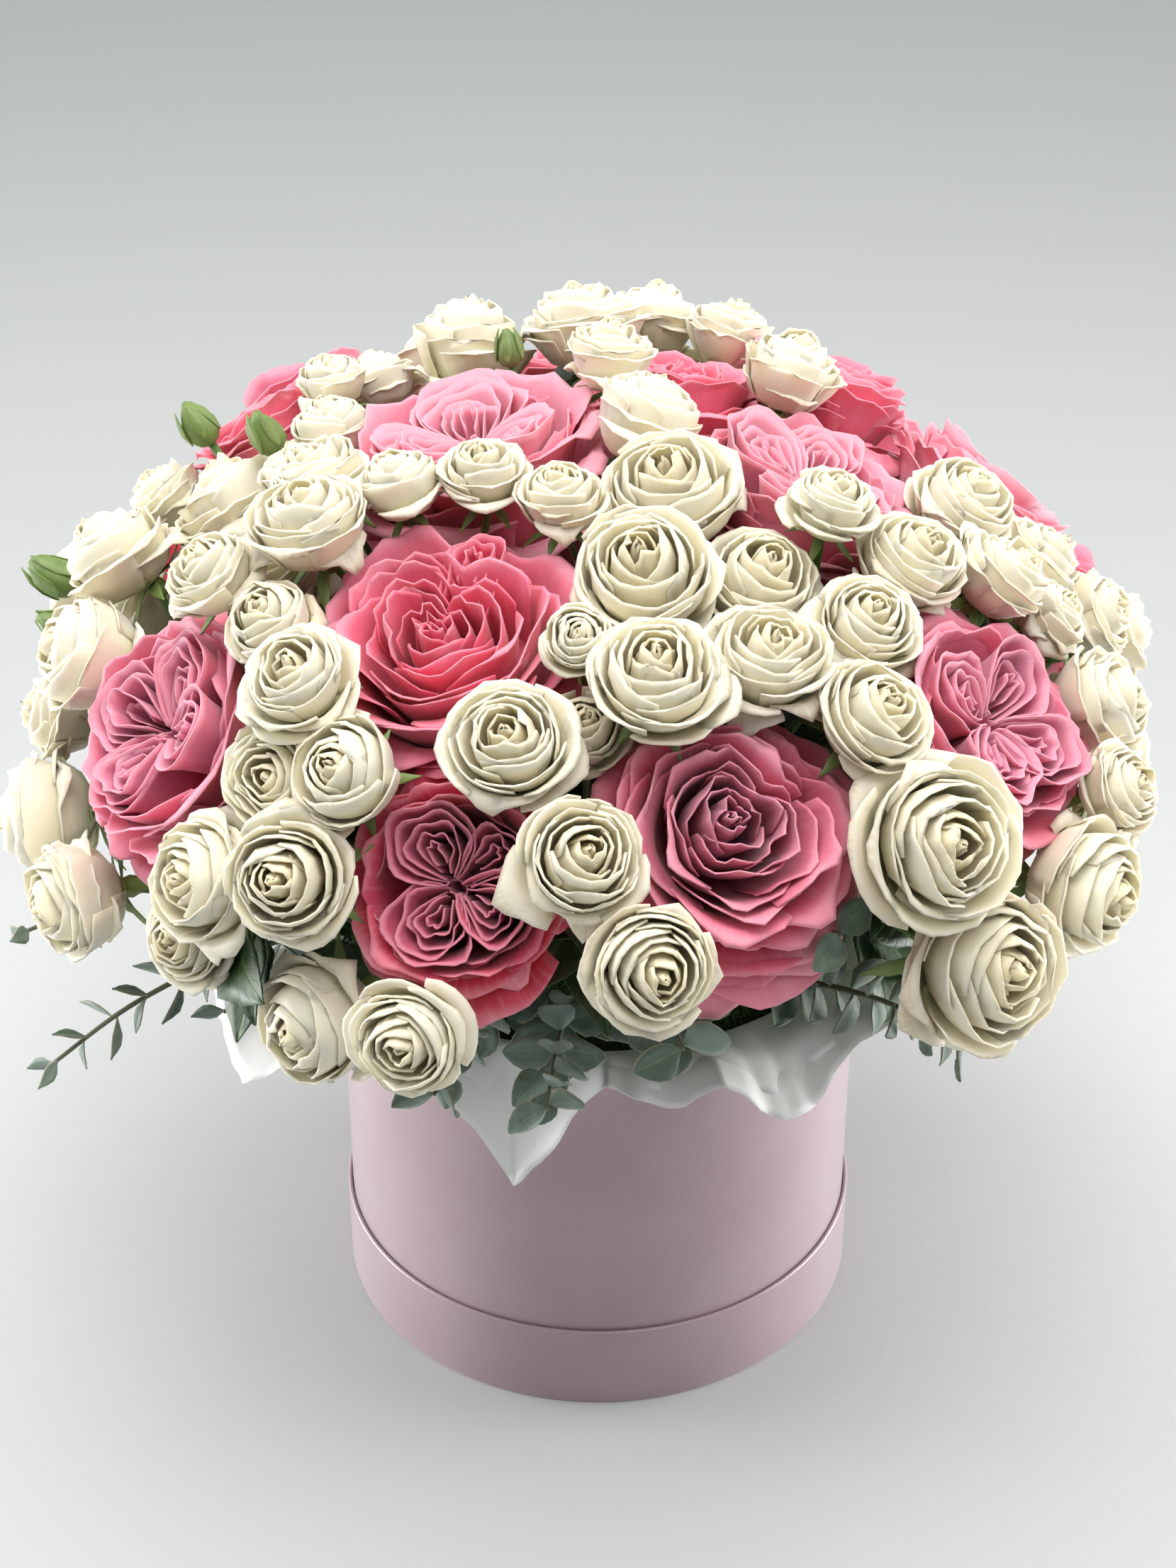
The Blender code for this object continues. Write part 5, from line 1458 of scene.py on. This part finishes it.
class HATBOX_OT_sprays(bpy.types.Operator):
    """Make the white spray roses, each stem with its blooms, buds and leaves"""
    bl_idname = "hat_box.sprays"
    bl_label = "Spray roses"

    def execute(self, context):
        wanted = context.scene.hat_box_sprays
        leaves = context.scene.hat_box_leaves
        green = shared("rose_green", rose_green, leaves.stem, leaves.sepal, leaves.leaf)
        white = shared("cream_petal", white_petal, wanted.white, wanted.warm, wanted.green, wanted.blush)
        for number, route in enumerate(layout()["routes"]):
            name = route["name"]
            if name in PINK_ROSES:
                continue
            chance = np.random.default_rng(500 + number)
            blooms = Sheaf()
            stem = Sheaf()
            stems_of(route, stem, chance)
            for head in route["heads"]:
                if head[0] == "bud":
                    bud(stem, head, chance)
                    continue
                half_open = head[3] < HALF_OPEN_RADIUS or chance.random() < HALF_OPEN_SHARE
                bloom_head(blooms, head, chance, wanted.thick, half_open)
                hip(stem, head, chance.random())
                sepals(stem, head, chance, not half_open)
            stem_leaves(stem, route, chance, leaves.leaves)
            settle(blooms.build(name + "_petals", white), "white_rose", name)
            settle(stem.build(name + "_green", green), "greenery", name)
        return {"FINISHED"}


class HATBOX_OT_eucalyptus(bpy.types.Operator):
    """Make the eucalyptus sprigs, long leaved on the left and round leaved elsewhere"""
    bl_idname = "hat_box.eucalyptus"
    bl_label = "Eucalyptus"

    def execute(self, context):
        wanted = context.scene.hat_box_leaves
        dusty = shared("eucalyptus_green", eucalyptus_green, wanted.dusty, wanted.pale, (0.10, 0.11, 0.055))
        for number, (name, course) in enumerate(layout()["sprigs"].items()):
            _, inner, run, pairs, length, width = course
            chance = np.random.default_rng(900 + number)
            sheaf = Sheaf()
            path = smooth_path(np.vstack([inner[None, :], run]), 5)
            sheaf.tube(path, SPRIG_STEM * np.linspace(1.0, 0.5, len(path)), 6, (0.5, 0.0, 0.0, 0.5))
            shape = "round" if width / length > 0.7 else "long"
            stretch, broad = (1.30, 1.22) if shape == "round" else (1.60, 1.15)
            for pair in range(2 * pairs - 1):
                share = pair / (2 * pairs - 2)
                place, along = place_on(run, 0.24 + 0.74 * share)
                level, up = side_axes(along)
                spin = math.radians(25.0 + 65.0 * (pair % 2) + 12.0 * chance.normal())
                level, up = (math.cos(spin) * level + math.sin(spin) * up,
                             math.cos(spin) * up - math.sin(spin) * level)
                size = (1.0 - 0.30 * share) * (1.0 if pair % 2 == 0 else 0.86)
                for hand in (-1.0, 1.0):
                    out = unit(level * hand + along * (0.45 + 0.15 * chance.normal()))
                    flat = unit(np.cross(out, np.cross(along, out)))
                    flat = -flat if flat[2] < 0 else flat
                    leaf_sheet(sheaf, place + along * 0.0009 * hand, out, flat, length * size * stretch,
                               width * size * broad, shape, (1.0, chance.random()), chance, 0.0006, 0.10)
            settle(sheaf.build(name + "_leaves", dusty), "greenery", name)
        return {"FINISHED"}


def area_light(name, place, aim, size, power, colour, spread=180.0):
    """Soft rectangular light that faces a point, its light kept within an angle."""
    lamp = bpy.data.lights.new(name, "AREA")
    lamp.shape = "RECTANGLE"
    lamp.size, lamp.size_y = size
    lamp.energy = power
    lamp.color = colour
    lamp.spread = math.radians(spread)
    made = bpy.data.objects.new(name, lamp)
    bpy.context.scene.collection.objects.link(made)
    back = unit(np.array(place) - np.array(aim))
    tilt = math.acos(back[2])
    made.rotation_euler = (tilt, 0.0, math.atan2(back[0], -back[1]))
    made.location = place
    return made


class HATBOX_OT_stage(bpy.types.Operator):
    """Set the floor, the lights and the camera"""
    bl_idname = "hat_box.stage"
    bl_label = "Stage"

    def execute(self, context):
        wanted = context.scene.hat_box_stage
        section = [(0.01, -0.02), (7.0, -0.02), (7.0, 0.0), (3.0, 0.0), (1.5, 0.0), (0.6, 0.0), (0.01, 0.0)]
        floor = Sheaf()
        floor.rings(lathe(UPRIGHT, np.zeros(3), 1.0, section, 96), (0.5, 0.0, 0.0, 0.5))
        stage = floor.build("pale_floor", floor_finish("pale_floor", tuple(wanted.near), tuple(wanted.far)))
        context.scene.world = even_light("even_light", wanted.sky)
        area_light("light_above", (-0.05, -0.20, 2.1), (0.0, 0.0, 0.3), (2.0, 1.6), wanted.top_light,
                   (1.0, 0.98, 0.94))
        area_light("light_left", (-1.7, 0.25, 0.75), (0.0, 0.0, 0.2), (1.3, 1.6), wanted.side_light,
                   (0.97, 0.99, 1.0))
        area_light("light_right", (1.7, 0.25, 0.75), (0.0, 0.0, 0.2), (1.3, 1.6), wanted.side_light,
                   (1.0, 0.99, 0.97))
        for side in (-1.0, 1.0):
            area_light("light_low", (0.85 * side, 0.12, 0.10), (0.0, 0.0, 0.085), (0.40, 0.18), wanted.low_light,
                       (1.0, 0.99, 0.99), 75.0)
        area_light("light_front", (0.10, -0.80, 2.00), (0.0, -0.05, 0.35), (1.4, 1.0), wanted.front_light,
                   (1.0, 0.99, 0.96))
        context.scene.view_settings.view_transform = "Standard"
        lens = bpy.data.cameras.new("camera")
        lens.lens = wanted.lens
        lens.sensor_width = 36.0
        camera = bpy.data.objects.new("camera", lens)
        camera.location = (-0.0049, -1.0536, 0.916)
        camera.rotation_euler = (math.pi / 2 - wanted.pitch, 0.0, 0.0)
        context.scene.collection.objects.link(camera)
        context.scene.camera = camera
        return {"FINISHED"}


class HATBOX_PT_panel(bpy.types.Panel):
    """Settings of each piece above the button that makes it"""
    bl_idname = "HATBOX_PT_panel"
    bl_label = "Hat box"
    bl_space_type = "VIEW_3D"
    bl_region_type = "UI"
    bl_category = "Hat box"

    def draw(self, context):
        for group, operators in PANEL:
            column = self.layout.column()
            if group:
                settings = getattr(context.scene, group)
                for key in settings.__class__.__annotations__:
                    column.prop(settings, key)
            for operator in operators:
                column.operator(operator)


PANEL = [
    ("hat_box_card", ["hat_box.box"]),
    (None, ["hat_box.filling"]),
    ("hat_box_tissue", ["hat_box.tissue"]),
    ("hat_box_roses", ["hat_box.roses"]),
    ("hat_box_sprays", ["hat_box.sprays"]),
    ("hat_box_leaves", ["hat_box.eucalyptus"]),
    ("hat_box_stage", ["hat_box.stage"]),
]
CLASSES = list(SETTINGS.values()) + [
    HATBOX_OT_box, HATBOX_OT_filling, HATBOX_OT_tissue, HATBOX_OT_roses, HATBOX_OT_sprays,
    HATBOX_OT_eucalyptus, HATBOX_OT_stage, HATBOX_PT_panel,
]


def register():
    for made in CLASSES:
        bpy.utils.register_class(made)
    for key, group in SETTINGS.items():
        setattr(bpy.types.Scene, key, bpy.props.PointerProperty(type=group))


def unregister():
    for key in SETTINGS:
        delattr(bpy.types.Scene, key)
    for made in reversed(CLASSES):
        bpy.utils.unregister_class(made)


def main():
    register()
    bpy.ops.hat_box.box()
    bpy.ops.hat_box.filling()
    bpy.ops.hat_box.tissue()
    bpy.ops.hat_box.roses()
    bpy.ops.hat_box.sprays()
    bpy.ops.hat_box.eucalyptus()
    bpy.ops.hat_box.stage()
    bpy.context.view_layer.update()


if __name__ == "__main__":
    main()
